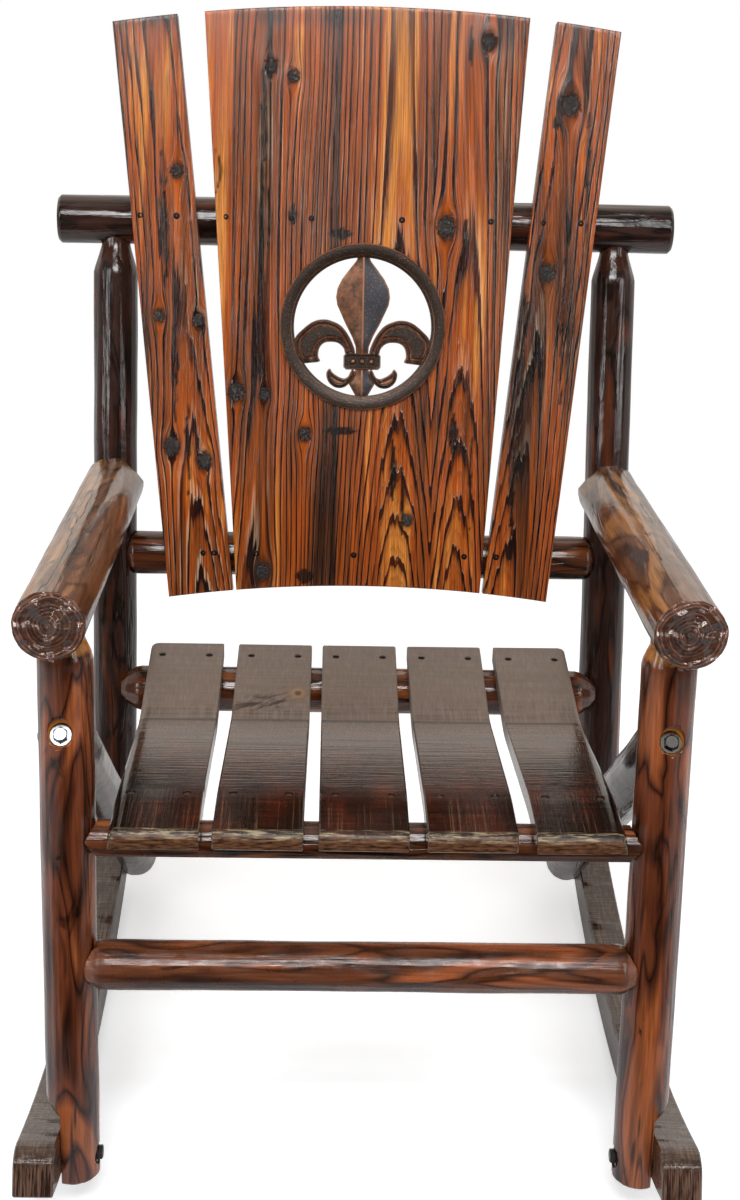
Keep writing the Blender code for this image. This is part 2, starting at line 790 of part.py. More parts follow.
def make_back_boards():
    origin, rotation = back_frame()
    near_low, far_low = SIDE_BOARD_BOTTOM
    near_top, far_top = SIDE_BOARD_TOP
    spans = {
        "back_board_left": (-far_low, -near_low, -far_top, -near_top),
        "back_board_centre": (-CENTRE_HALF_BOTTOM, CENTRE_HALF_BOTTOM, -CENTRE_HALF_TOP, CENTRE_HALF_TOP),
        "back_board_right": (near_low, far_low, near_top, far_top),
    }
    boards = {}
    for name, span in spans.items():
        board = prism(name, board_outline(*span), BOARD_THICKNESS, "board")
        board.location = origin
        board.rotation_euler = rotation
        soften(board)
        boards[name] = board
    levels = (-REACH, BOARD_THICKNESS + REACH)
    loops = [ring(MEDALLION_HOLE, level, MEDALLION_SIDES) for level in levels]
    hole = skin("cut_medallion_hole", loops, None)
    hole.location = origin + Matrix.Rotation(rotation[0], 3, "X") @ Vector((0, MEDALLION_UP, 0))
    hole.rotation_euler = rotation
    cut(boards["back_board_centre"], hole)
    return boards


def smooth_outline(points, steps=3):
    """A closed curve through the points, by Catmull and Rom's formula."""
    curve = []
    count = len(points)
    for i in range(count):
        a, b, c, d = (Vector(points[(i + k) % count]) for k in (-1, 0, 1, 2))
        for step in range(steps):
            t = step / steps
            bend = (2 * a - 5 * b + 4 * c - d) * t**2
            swing = (3 * b - 3 * c + d - a) * t**3
            curve.append((2 * b + (c - a) * t + bend + swing) / 2)
    return curve


def counter_clockwise(points):
    area = sum(a[0] * b[1] - b[0] * a[1] for a, b in zip(points, points[1:] + points[:1]))
    return points if area > 0 else list(reversed(points))


def cast_plate(name, outline, kind):
    """One part of the figure, from an outline on its grid, with a sloped edge in front."""
    back, front, slope = RELIEF[kind]
    grid = MEDALLION_RADIUS / 100
    points = [Vector(point) * grid for point in counter_clockwise(outline)]
    inner = []
    for i, point in enumerate(points):
        run = (points[(i + 1) % len(points)] - points[i - 1]).normalized()
        inner.append(point + Vector((-run.y, run.x)) * slope)
    levels = ((points, back), (points, front - slope), (inner, front))
    return skin(name, [[p.to_3d() + Vector((0, 0, z)) for p in row] for row, z in levels], None)


def make_medallion_ring():
    mesh = bpy.data.meshes.new("medallion")
    shape = bmesh.new()
    front = MEDALLION_THICKNESS
    section = (
        (MEDALLION_RADIUS, 0),
        (MEDALLION_RADIUS, front - EDGE_BEVEL),
        (MEDALLION_RADIUS - EDGE_BEVEL, front),
        (MEDALLION_INNER + EDGE_BEVEL, front),
        (MEDALLION_INNER, front - EDGE_BEVEL),
        (MEDALLION_INNER, 0),
    )
    loops = [[shape.verts.new(p) for p in ring(radius, z, MEDALLION_SIDES)] for radius, z in section]
    for lower, upper in zip(loops, loops[1:] + loops[:1]):
        for i, vert in enumerate(lower):
            j = (i + 1) % MEDALLION_SIDES
            shape.faces.new((vert, lower[j], upper[j], upper[i]))
    bmesh.ops.recalc_face_normals(shape, faces=shape.faces)
    shape.to_mesh(mesh)
    shape.free()
    return place("medallion", mesh, "bronze")


def make_medallion():
    """One casting: the ring, the blade, two petals, two curls, the band and its beads."""
    casting = make_medallion_ring()
    blade = [*BLADE, *((-across, up) for across, up in reversed(BLADE))]
    band = [(x, y) for x, y in ((-1, 0), (1, 0), (1, 1), (-1, 1))]
    band = [(x * BAND_HALF_WIDTH, BAND_BOTTOM + y * BAND_HEIGHT) for x, y in band]
    parts = [cast_plate("cast_blade", blade, "blade"), cast_plate("cast_band", band, "band")]
    for word, side in SIDES:
        for kind, outline in (("petal", PETAL), ("curl", CURL)):
            curve = [(side * point.x, point.y) for point in smooth_outline(outline, 2)]
            parts.append(cast_plate(f"cast_{kind}_{word}", curve, kind))
    for index in (-1, 0, 1):
        middle = Vector((index * BEAD_SPACING, BAND_BOTTOM + BAND_HEIGHT / 2))
        bead = [tuple(middle + point.xy) for point in ring(BEAD_RADIUS, 0, 10)]
        parts.append(cast_plate(f"cast_bead_{index + 2}", bead, "bead"))
    for part in parts:
        union = casting.modifiers.new(part.name, "BOOLEAN")
        union.operation = "UNION"
        union.object = part
    origin, rotation = back_frame()
    lift = Vector((0, MEDALLION_UP, BOARD_THICKNESS + CLEARANCE))
    for obj in (casting, *parts):
        obj.location = origin + Matrix.Rotation(rotation[0], 3, "X") @ lift
        obj.rotation_euler = rotation
    return casting


def make_side_frames():
    pieces = {}
    for word, side in SIDES:
        pieces[f"rocker_{word}"] = make_rocker(word, side)
        pieces[f"front_leg_{word}"] = make_front_leg(word, side)
        pieces[f"side_brace_{word}"] = make_brace(word, side)
        pieces[f"rear_post_{word}"] = make_post(word, side)
        pieces[f"armrest_{word}"] = make_armrest(word, side)
    return pieces


def make_rails(seat_bed):
    rails = {}
    legs = [leg_cutter(f"cut_rail_at_leg_{word}", side) for word, side in SIDES]
    posts = [post_cutter(f"cut_rail_at_post_{word}", side) for word, side in SIDES]
    rails["front_seat_rail"] = make_rail(
        "front_seat_rail", (0, FRONT_RAIL_Y, front_rail_height()), FRONT_RAIL_RADIUS, RAIL_TIP_X,
        "log_dark", [seat_bed, *legs],
    )
    rails["rear_seat_rail"] = make_rail(
        "rear_seat_rail", (0, REAR_RAIL_Y, rear_rail_height()), REAR_RAIL_RADIUS, RAIL_TIP_X,
        "log_dark", [seat_bed, *posts],
    )
    stretcher_y = leg_point(1, STRETCHER_Z).y - STRETCHER_AHEAD
    rails["front_stretcher"] = make_rail(
        "front_stretcher", (0, stretcher_y, STRETCHER_Z), STRETCHER_RADIUS, RAIL_TIP_X, "log_dark", legs
    )
    low = post_point(0, BACK_RAIL_UP) + BACK_AHEAD * BACK_RAIL_AHEAD
    rails["back_rail"] = make_rail(
        "back_rail", tuple(low), BACK_RAIL_RADIUS, RAIL_TIP_X, "log_dark", [make_back_bed(), *posts]
    )
    high = post_point(0, TOP_RAIL_UP)
    half = TOP_RAIL_LENGTH / 2
    top_rail = turned(
        "top_rail",
        high - Vector((half, 0, 0)),
        high + Vector((half, 0, 0)),
        log_profile(TOP_RAIL_LENGTH, BACK_RAIL_RADIUS),
        "log_dark",
    )
    for word, side in SIDES:
        mouth = post_point(side, TOP_RAIL_UP - REACH)
        floor = post_point(side, TOP_RAIL_UP + TENON_PAST_AXIS + CLEARANCE)
        socket = round_cutter(f"cut_socket_{word}", mouth, floor, TENON_RADIUS)
        cut(top_rail, socket)
    rails["top_rail"] = top_rail
    return rails


def fasten_side_frames(pieces):
    """Two bolts join each brace and leg to the rocker, one the brace to the leg, one the post."""
    for word, side in SIDES:
        top = brace_top(side)
        lower = Vector((0, -BRACE_RUN.z, BRACE_RUN.y)) * -BRACE_BOLT_DROP
        seat = top + lower - BRACE_RUN * (LEG_RADIUS - BRACE_BOLT_DEPTH)
        bolt(f"brace_bolt_{word}", seat, BRACE_RUN, BRACE_BOLT_LENGTH)
        hole = bolt_hole(f"cut_brace_bolt_{word}", seat, BRACE_RUN, BRACE_BOLT_LENGTH)
        cut(pieces[f"front_leg_{word}"], hole)
        cut(pieces[f"side_brace_{word}"], hole)

        outward = Vector((side, 0, 0))
        leg = leg_point(side, LEG_BOLT_Z)
        leg_seat = Vector((side * (abs(leg.x) - LEG_RADIUS + SIDE_BOLT_SUNK), leg.y, leg.z))
        bolt(f"leg_bolt_{word}", leg_seat, outward, SIDE_BOLT_LENGTH)
        hole = bolt_hole(f"cut_leg_bolt_{word}", leg_seat, outward, SIDE_BOLT_LENGTH)
        cut(pieces[f"front_leg_{word}"], hole)
        cut(pieces[f"rocker_{word}"], hole)

        end = top + BRACE_RUN * (brace_length() - BRACE_RADIUS)
        end.z = rocker_height(end.y, ROCKER_DEPTH / 2)
        outer_x = ROCKER_INNER_X + ROCKER_THICKNESS - SIDE_BOLT_SUNK
        brace_seat = Vector((side * outer_x, end.y, end.z))
        bolt(f"foot_bolt_{word}", brace_seat, -outward, SIDE_BOLT_LENGTH)
        hole = bolt_hole(f"cut_foot_bolt_{word}", brace_seat, -outward, SIDE_BOLT_LENGTH)
        cut(pieces[f"side_brace_{word}"], hole)
        cut(pieces[f"rocker_{word}"], hole)

        foot = post_foot(side)
        post_seat = foot - POST_RISE * (BRACE_RADIUS - POST_BOLT_SUNK)
        bolt(f"post_bolt_{word}", post_seat, POST_RISE, POST_BOLT_LENGTH)
        hole = bolt_hole(f"cut_post_bolt_{word}", post_seat, POST_RISE, POST_BOLT_LENGTH)
        cut(pieces[f"side_brace_{word}"], hole)
        cut(pieces[f"rear_post_{word}"], hole)


def fasten_slats(slats, rails):
    """Two screws through each slat into each seat rail."""
    rows = (("front", FRONT_SCREW_Y, "front_seat_rail"), ("rear", REAR_RAIL_Y, "rear_seat_rail"))
    for row, y, rail in rows:
        under, slope = seat_underside(y)
        into = Vector((0, math.sin(slope), -math.cos(slope)))
        for index, slat in enumerate(slats):
            for letter, hand in (("a", -1), ("b", 1)):
                x = slat_centre(index, y) + hand * SLAT_SCREW_SPREAD / 2
                bearing = Vector((x, y, under))
                top = bearing - into * (SLAT_THICKNESS - SCREW_SUNK)
                name = f"{row}_slat_screw_{index + 1}{letter}"
                screw(name, top, into)
                hole = screw_hole(f"cut_{name}", top, into)
                cut(slat, hole)
                cut(rails[rail], hole)


def main():
    pieces = make_side_frames()
    seat_bed = make_seat_bed()
    rails = make_rails(seat_bed)
    slats = [make_slat(index) for index in range(SLAT_COUNT)]
    make_back_boards()
    make_medallion()
    fasten_side_frames(pieces)
    fasten_slats(slats, rails)


main()
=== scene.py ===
"""Looks of the log rocking chair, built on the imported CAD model.

Peeled logs, torched and varnished, carry a fan of sawn boards with a cast medallion and a
seat of five shaped slats. Every length is in metres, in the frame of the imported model: the
chair faces -Y, +X is on the viewer's right, and left means -X.
"""

import math
from functools import partial

import bmesh
import bpy
import numpy as np
from bpy.props import FloatProperty, FloatVectorProperty, IntProperty, PointerProperty
from mathutils import Matrix, Vector
from mathutils.bvhtree import BVHTree
from mathutils.geometry import delaunay_2d_cdt


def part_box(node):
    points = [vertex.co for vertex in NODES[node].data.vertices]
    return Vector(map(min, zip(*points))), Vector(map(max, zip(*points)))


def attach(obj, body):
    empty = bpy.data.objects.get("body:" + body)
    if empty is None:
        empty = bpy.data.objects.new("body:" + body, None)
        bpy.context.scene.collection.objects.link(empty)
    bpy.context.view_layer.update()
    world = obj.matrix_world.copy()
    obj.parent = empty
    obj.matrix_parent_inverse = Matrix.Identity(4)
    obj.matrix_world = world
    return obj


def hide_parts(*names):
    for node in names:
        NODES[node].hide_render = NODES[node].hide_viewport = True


bl_info = {
    "name": "Log rocking chair",
    "version": (1, 0, 0),
    "blender": (4, 5, 0),
    "location": "View3D > Sidebar > Chair",
    "description": "Builds the visible pieces of a log rocking chair on its CAD model",
    "category": "Object",
}

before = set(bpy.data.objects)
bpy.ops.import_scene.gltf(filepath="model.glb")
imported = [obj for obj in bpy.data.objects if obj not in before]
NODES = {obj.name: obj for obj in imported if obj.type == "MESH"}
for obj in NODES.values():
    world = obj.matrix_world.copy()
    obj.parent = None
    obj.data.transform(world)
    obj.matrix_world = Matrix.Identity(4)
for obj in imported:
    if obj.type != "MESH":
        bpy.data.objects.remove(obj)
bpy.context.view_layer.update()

MM = 0.001
# Gap that keeps a dressed face just inside its CAD solid
SKIN = 0.05 * MM
CAD_LOG_SIDES = 24
CAD_ARM_SIDES = 32
RING_SPACING = 0.0046
END_RING_SPACING = 0.0036
# Height up a board at which a pith has stopped drawing away from its face
PITH_LEVELS = 0.30

# The boards' own plane: rear face at the foot line, up along the back, and out of its front
BACK_LEAN = math.radians(14.9)
BACK_ORIGIN = Vector((-0.003, 0.07123, 0.49719))
BACK_UP = Vector((0, math.sin(BACK_LEAN), math.cos(BACK_LEAN)))
BACK_OUT = Vector((0, -math.cos(BACK_LEAN), math.sin(BACK_LEAN)))
BACK_TURN = Matrix((Vector((1, 0, 0)), BACK_UP, BACK_OUT)).transposed()
BOARD_THICKNESS = 0.020
# Arcs of the boards' ends: height at the middle of the back, and radius
BOARD_TOP = (0.6528, 1.80)
BOARD_BOTTOM = (0.0072, 1.50)
# Steps of a board's mesh over its rounded edge, as shares of the rounding
EDGE_SHARES = (0, 0.12, 0.35, 0.7, 1.0)

MEDALLION_UP = 0.301
MEDALLION_RADIUS = 0.093
MEDALLION_INNER = 0.077
MEDALLION_HOLE = 0.0841
# Heights of the back and of the lowest edge of each cast part, over the ring's own back
CAST_BACK = 0.4 * MM
CAST_EDGE = 1.8 * MM

# Light of the floor beyond what the lamps give it, and of the room's two ends
FLOOR_GLOW = 0.42
ROOM_FRONT = 0.05
ROOM_BACK = 1.1
ROOM_TINT = (1.0, 0.93, 0.85, 1)

# Each lamp, named for the property that holds its power: place, target, and width and height
LAMPS = {
    "key": ((0.0, -2.3, 2.9), (0, 0, 0.6), (1.6, 0.9)),
    "left": ((-2.3, -1.9, 1.8), (0, 0, 0.7), (0.9, 1.5)),
    "right": ((2.3, -1.9, 1.8), (0, 0, 0.7), (0.9, 1.5)),
}

# The photograph's view, found from the chair's outlines: pixels, and yaw, pitch and roll in degrees
PHOTO_SIZE = (740, 1200)
PHOTO_CENTRE = (359.73, 538.74)
FOCAL_PIXELS = 1798.83
CAMERA_SPOT = (-0.0439, -1.84254, 1.2935)
CAMERA_TURN = (-1.2539, 20.9461, 1.3092)

# Settings of nodes: two colours mixed, one darkened by another, a smooth ramp, a varnished shader
MIXED = {"out": 2, "data_type": "RGBA"}
TINTED = {**MIXED, "blend_type": "MULTIPLY"}
SMOOTH = {"interpolation_type": "SMOOTHSTEP"}
VARNISH = {"IOR": 1.5}

# Logs of each finish. The seed of a log's grain is its place in this list, from LOG_SEED on
LOG_SEED = 11
LOGS = (
    ("leg", "front_leg_left", "front_leg_right"),
    ("arm", "armrest_left", "armrest_right"),
    ("post", "rear_post_left", "rear_post_right", "side_brace_left", "side_brace_right", "top_rail"),
    ("rail", "back_rail", "rear_seat_rail"),
    ("front_rail", "front_seat_rail"),
    ("stretcher", "front_stretcher"),
)

# Cuts round a whittled log end, and steps of its mesh there
KNIFE_CUTS = 11
LOG_END_STEPS = np.array([0.05, 0.5, 1.1, 2.0, 3.1, 4.6, 7.0, 9.5, 13, 17]) * MM

# Finishes of the logs: record slot, islands, body, torched wood, knife-cut ends, share left
# burnt black, how rare the islands are, and the roughness of the varnish
LOG_FINISHES = {
    "leg": ("log_red", "9C5630", "6C3822", "2C160E", "B0702E", 0.35, 0.0, 0.18),
    "arm": ("log_red", "966638", "6A452B", "3A2214", "74522F", 0.28, 0.03, 0.17),
    "post": ("log_dark", "5A2C16", "35201A", "160D09", "3A2016", 0.34, 0.05, 0.17),
    "front_rail": ("log_dark", "A05C30", "6A3A20", "24140C", "DC985E", 0.30, 0.0, 0.22),
    "rail": ("log_dark", "84481F", "5A2E17", "1E100A", "44220F", 0.34, 0.02, 0.18),
    "stretcher": ("log_dark", "A45A36", "6E3E26", "361C12", "7A4A34", 0.27, 0.00, 0.30),
}

# Boards of the back. Foot and head are X from left to right at both ends. Piths are lines that
# the rings close round: X at mid height, lean, depth behind the face at the foot, rise of that
# depth, and rings before the first. Knots are (X, up, radius). Burns are black flames, as
# (X, up, half width, half length, share burnt inside). Patches darken or lighten the wood, as
# (X, up, half width, half height, amount).
BOARDS = {
    "back_board_left": {
        "foot": (-0.2155, -0.1425), "head": (-0.2815, -0.2100), "seed": 31,
        "piths": ((-0.2060, -0.095, 0.004, 0.060, 0),),
        "knots": (
            (-0.2092, 0.470, 0.0065), (-0.2280, 0.310, 0.0062), (-0.1840, 0.306, 0.0065),
            (-0.2130, 0.164, 0.0085), (-0.1760, 0.148, 0.0080),
        ),
        "burns": (
            (-0.2241, 0.455, 0.0045, 0.062, 0.6), (-0.2215, 0.390, 0.0035, 0.060, 1.0),
            (-0.2090, 0.250, 0.0025, 0.060, 0.8), (-0.1950, 0.170, 0.0022, 0.070, 0.9),
        ),
        "patches": (
            (-0.2450, 0.640, 0.050, 0.012, 0.55), (-0.2360, 0.560, 0.030, 0.070, -0.22),
            (-0.2450, 0.6520, 0.080, 0.002, -0.90),
            (-0.2700, 0.400, 0.012, 0.200, 0.15), (-0.1800, 0.030, 0.060, 0.070, 0.25),
            (-0.2400, 0.200, 0.012, 0.200, 0.12), (-0.1950, 0.410, 0.010, 0.120, 0.12),
        ),
    },
    "back_board_centre": {
        "foot": (-0.1390, 0.1390), "head": (-0.1800, 0.1800), "seed": 32,
        "piths": (
            (-0.1120, 0.02, 0.004, 0.022, 2), (0.0400, 0.00, 0.001, 0.105, 0),
            (0.1120, 0.02, 0.001, 0.085, 1), (-0.1640, 0.03, 0.030, 0.060, 0),
        ),
        "knots": (
            (-0.1060, 0.586, 0.0068), (-0.0810, 0.575, 0.0062), (0.0920, 0.413, 0.0105),
            (0.1350, 0.617, 0.0080), (-0.1410, 0.226, 0.0085), (-0.1090, 0.224, 0.0058),
            (-0.0633, 0.180, 0.0070), (-0.1090, 0.023, 0.0085), (0.0540, 0.084, 0.0060),
        ),
        "burns": (
            (-0.1133, 0.530, 0.0042, 0.070, 0.8), (-0.1101, 0.422, 0.0060, 0.048, 0.30),
            (-0.1677, 0.470, 0.0080, 0.028, 0.05), (-0.0799, 0.424, 0.0045, 0.014, 1.0),
            (-0.0250, 0.404, 0.0130, 0.007, 0.9), (0.1147, 0.612, 0.0034, 0.026, 1.0),
            (0.1126, 0.406, 0.0042, 0.021, 1.0), (0.1052, 0.180, 0.0060, 0.026, 1.0),
            (0.0370, 0.140, 0.0042, 0.040, 1.0), (-0.0227, 0.184, 0.0185, 0.0060, 1.0),
            (-0.1149, 0.251, 0.0025, 0.022, 1.0), (-0.0611, 0.018, 0.010, 0.010, 0.8),
            (0.1250, 0.130, 0.0022, 0.060, 0.9), (0.0480, 0.110, 0.0020, 0.045, 0.9),
        ),
        "patches": (
            (-0.0417, 0.100, 0.030, 0.085, 0.30), (-0.0500, 0.020, 0.050, 0.030, 0.22),
            (0.0418, 0.050, 0.022, 0.060, -0.22), (0.1141, 0.075, 0.018, 0.070, -0.18),
            (0.1189, 0.271, 0.022, 0.070, -0.16), (0.0396, 0.595, 0.018, 0.060, -0.30),
            (-0.0900, 0.400, 0.030, 0.050, 0.18), (0.0100, 0.200, 0.100, 0.030, 0.10),
            (0.1600, 0.630, 0.030, 0.025, 0.28), (-0.1200, 0.170, 0.030, 0.160, 0.06),
            (0.0, 0.6525, 0.400, 0.002, -0.80), (-0.0600, 0.640, 0.080, 0.010, 0.25),
            (0.0900, 0.200, 0.060, 0.100, 0.12),
        ),
    },
    "back_board_right": {
        "foot": (0.1425, 0.2155), "head": (0.2100, 0.2815), "seed": 33,
        "piths": ((0.2010, 0.12, 0.002, 0.055, 1),),
        "knots": ((0.2271, 0.550, 0.0105), (0.2060, 0.365, 0.0085)),
        "burns": (
            (0.2120, 0.530, 0.0045, 0.010, 1.0), (0.1850, 0.315, 0.0035, 0.028, 0.8),
            (0.1740, 0.120, 0.0030, 0.065, 0.9), (0.2250, 0.300, 0.0022, 0.090, 0.9),
            (0.2480, 0.470, 0.0020, 0.080, 0.9),
        ),
        "patches": (
            (0.2600, 0.480, 0.012, 0.150, 0.16), (0.1900, 0.230, 0.020, 0.110, 0.30),
            (0.2130, 0.440, 0.014, 0.080, 0.14), (0.2060, 0.060, 0.012, 0.060, -0.20),
            (0.1850, 0.180, 0.060, 0.190, 0.26),
            (0.2450, 0.600, 0.030, 0.050, -0.12), (0.1740, 0.200, 0.010, 0.150, 0.10),
        ),
    },
}

# Each sawn plank: CAD node, size of its cells along each axis, finish, seed
SLAT_SEED = 41
PLANKS = (
    *((f"seat_slat_{i + 1}", (0.008, 0.008, 0), "slat", SLAT_SEED + i) for i in range(5)),
    ("rocker_left", (0, 0.010, 0.010), "rocker", 51),
    ("rocker_right", (0, 0.010, 0.010), "rocker", 52),
)

# Way along X from one plank's piece of grain to the next seed's, and the knot of the second slat
# in its own grain, as X and Y
PLANK_SHIFT = 0.37
SLAT_KNOT = (PLANK_SHIFT * (SLAT_SEED + 1) - 0.0690, -0.036)

# Glued strips and long stains of the centre board: X of each edge and its darkness, 0.5 being even
STRIPS = (
    (-0.1820, 0.32), (-0.1640, 0.20), (-0.1475, 0.34), (-0.1468, 0.95), (-0.1452, 0.95), (-0.1440, 0.62),
    (-0.1175, 0.55), (-0.0919, 0.42), (-0.0752, 0.36), (-0.0560, 0.52), (-0.0400, 0.55),
    (-0.0388, 0.80), (-0.0335, 0.64), (-0.0325, 0.95), (-0.0285, 0.88), (-0.0274, 0.58),
    (-0.0173, 0.46), (0.0083, 0.34), (0.0200, 0.10), (0.0572, 0.12), (0.0584, 0.66), (0.0610, 0.58),
    (0.0640, 0.36), (0.0717, 0.44), (0.1029, 0.50), (0.1251, 0.44), (0.1274, 0.16), (0.1436, 0.20),
    (0.1448, 0.78), (0.1485, 0.66), (0.1500, 0.56), (0.1820, 0.60),
)

# Steel of each kind of hardware
HARDWARE = {
    "foot_bolt": "steel_zinc_tarnished",
    "leg_bolt": "steel_zinc_tarnished",
    "brace_bolt_right": "steel_zinc_tarnished",
    "bolt": "steel_zinc_plated",
    "front_slat_screw": "steel_varnished_over",
    "screw": "steel_black_oxide",
}

# Screws of the boards, each board's own X in the upper and in the lower row
TOP_SCREWS_UP = 0.4205
LOW_SCREWS_UP = 0.043
TOP_SCREWS = (-0.2495, -0.2094, -0.1547, -0.0814, -0.0590, 0.0420, 0.1413, 0.2000, 0.2424)
LOW_SCREWS = (-0.1764, -0.1644, -0.1165, -0.0057, 0.1202, 0.1570, 0.1714)
RING_SCREW = (0.0590, 0.3675)

# The medallion's figure as (across, up), on a grid of 100 steps to its radius
BLADE = (
    (6.5, 84.5), (9, 78.5), (16.5, 69), (25.5, 57), (31, 46), (32.5, 35.5), (31, 26), (25.5, 14),
    (20.5, 3), (13, -11), (8, -23.5), (7, -41), (8.5, -54), (15.5, -69), (6.5, -84.5),
)
PETAL = (
    (8.5, -32.5), (14, -15), (24.5, 0), (36.5, 6.5), (47.5, 8.5), (60, 5.5), (73, -4.5),
    (81.5, -15), (81.5, -29), (74, -43.5), (61.5, -44), (51, -42), (53, -35.5), (51.5, -26),
    (46, -20), (37.5, -18.5), (29, -20), (22.5, -26), (19.5, -33.5),
)
CURL = (
    (12, -51.5), (17, -60), (22.5, -62), (30, -59), (35.5, -55), (39, -50.5), (43, -56),
    (41, -65.5), (34.5, -72), (27, -74), (19.5, -72), (13, -65.5), (7.5, -56),
)
BAND = (
    (-22.5, -48.5), (-19.5, -51.5), (19.5, -51.5), (22.5, -48.5),
    (22.5, -34.5), (19.5, -31.5), (-19.5, -31.5), (-22.5, -34.5),
)
BEAD_SPOTS = ((-11.2, -41.5), (0, -41.5), (11.2, -41.5))
BEAD_RADIUS = 4.7

# Section of the medallion's ring: the edge it is measured from, way out and height in mm
RING_OUTER = MEDALLION_RADIUS - 0.2 * MM
RING_SECTION = (
    (RING_OUTER, 0, 0.1), (RING_OUTER, 0, 4.2), (RING_OUTER, -0.8, 5.2), (RING_OUTER, -1.8, 5.9),
    (RING_OUTER, -3.2, 5.9), (MEDALLION_INNER, 4.0, 5.9), (MEDALLION_INNER, 3.4, 5.6),
    (MEDALLION_INNER, 3.1, 4.7), (MEDALLION_INNER, 2.4, 4.4), (MEDALLION_INNER, 1.2, 4.4),
    (MEDALLION_INNER, 0.4, 4.0), (MEDALLION_INNER, 0, 3.0), (MEDALLION_INNER, 0, 0.1),
)

# Section of a screw's head down to its recess: share of its radius, height in mm
SCREW_SECTION = ((0.55, -0.9), (1.0, 0.0), (0.86, 0.25), (0.42, 0.3))


def linear(hex_colour):
    """An sRGB hex colour as linear RGBA."""
    channels = [int(hex_colour[i : i + 2], 16) / 255 for i in (0, 2, 4)]
    curved = [c / 12.92 if c <= 0.04045 else ((c + 0.055) / 1.055) ** 2.4 for c in channels]
    return (*curved, 1.0)


def rgba(value):
    """Linear RGBA of an sRGB hex value, of a grey level, or of a colour that is so already."""
    if isinstance(value, str):
        return linear(value)
    return tuple(value) if hasattr(value, "__len__") else (value, value, value, 1)


def colour_property(name, description, hex_colour):
    """A colour that a user may change."""
    return FloatVectorProperty(
        name=name, description=description, subtype="COLOR", size=4, min=0, max=1,
        default=linear(hex_colour),
    )


def length_property(name, description, default):
    """A length that a user may change."""
    return FloatProperty(
        name=name, description=description, subtype="DISTANCE", unit="LENGTH", min=0, default=default
    )


def power_property(name, description, default):
    """A lamp's power that a user may change."""
    return FloatProperty(name=name, description=description, unit="POWER", min=0, default=default)


class ChairWood(bpy.types.PropertyGroup):
    """Colours of the torched wood."""

    early: colour_property("Soft grain", "Pale wood between the rings of a board", "A84F18")
    late: colour_property("Hard grain", "Dark rings of a board", "28100A")
    aged: colour_property("Greyed grain", "Soft wood where the torch passed longer", "4C2A19")
    char: colour_property("Char", "Wood that the torch burnt black", "150C08")
    slat: colour_property("Slat", "Front of a seat slat, under gloss", "22100A")
    # Painted sheen: the slat's rear colour is a light grey-brown that stands for light reflected off its
    # dull varnish
    slat_rear_sheen: colour_property("Slat, rear", "Rear of a seat slat, under dull varnish", "73645A")
    rocker: colour_property("Rocker", "Sawn rocker plank", "3E2A20")


class ChairShape(bpy.types.PropertyGroup):
    """Sizes of the wood's relief."""

    log_facets: IntProperty(name="Log sides", description="Faces round each log", default=72, min=24)
    log_step: length_property("Log step", "Length of a face along a log", 0.006)
    ripple: length_property("Ripple", "Depth of the drawknife's waves on a log", 0.0007)
    board_step: length_property("Board step", "Width of a face on a board", 0.003)
    raised_grain: length_property("Raised grain", "Height of the hard rings on a board", 0.0003)
    edge_round: length_property("Edge rounding", "Radius of a board's worn edges", 0.0014)


class ChairMetal(bpy.types.PropertyGroup):
    """Sizes and colours of the casting and the hardware."""

    bronze: colour_property("Patina", "Dark patina of the casting", "2A2019")
    copper: colour_property("Rubbed copper", "Copper that shows through the patina", "9C684A")
    zinc: colour_property("Zinc", "Plating of bolts and washers", "8C9094")
    black: colour_property("Black oxide", "Coating of the wood screws", "1E1B1A")
    relief_step: length_property("Relief step", "Width of a face on the casting", 0.0011)
    screw_head: length_property("Screw head", "Radius of a screw's head", 0.0038)


class ChairStage(bpy.types.PropertyGroup):
    """Floor, lamps and camera."""

    floor: colour_property("Floor", "Colour of the floor", "EEF2F7")
    key: power_property("Key lamp", "Power of the large front lamp", 78)
    left: power_property("Left lamp", "Power of the tall lamp on the left", 30)
    right: power_property("Right lamp", "Power of the tall lamp on the right", 22)
    fill: FloatProperty(name="Room", description="Strength of the room's light", default=1.0)


# Shared tools


def add_node(tree, kind, inputs=None, out=0, stops=None, **settings):
    """A node with its settings and links, a shader's by its short name; returns one output."""
    node = tree.nodes.new(kind if "Node" in kind else f"ShaderNode{kind}")
    for name, value in settings.items():
        setattr(node, name, value)
    if stops:
        ramp = node.color_ramp
        while len(ramp.elements) > 1:
            ramp.elements.remove(ramp.elements[-1])
        for index, (place, colour) in enumerate(stops):
            stop = ramp.elements[0] if index == 0 else ramp.elements.new(place)
            stop.position = place
            stop.color = rgba(colour)
    for socket, value in (inputs or {}).items():
        if isinstance(value, bpy.types.NodeSocket):
            tree.links.new(value, node.inputs[socket])
        else:
            node.inputs[socket].default_value = rgba(value) if isinstance(value, str) else value
    return node.outputs[out] if node.outputs else None


def scene_object(name, data):
    """An object of the given data, in the scene."""
    obj = bpy.data.objects.new(name, data)
    bpy.context.scene.collection.objects.link(obj)
    return obj


def mesh_object(name, points, faces):
    """An object made of points and faces."""
    mesh = bpy.data.meshes.new(name)
    mesh.from_pydata([tuple(p) for p in points], [], faces)
    return scene_object(name, mesh)


def shape_object(name, shape):
    """An object made of a bmesh, which is then freed."""
    mesh = bpy.data.meshes.new(name)
    shape.to_mesh(mesh)
    shape.free()
    return scene_object(name, mesh)


def closed_copy(node):
    """A CAD node's surface as one closed bmesh."""
    shape = bmesh.new()
    shape.from_mesh(NODES[node].data)
    bmesh.ops.remove_doubles(shape, verts=shape.verts, dist=1e-6)
    return shape


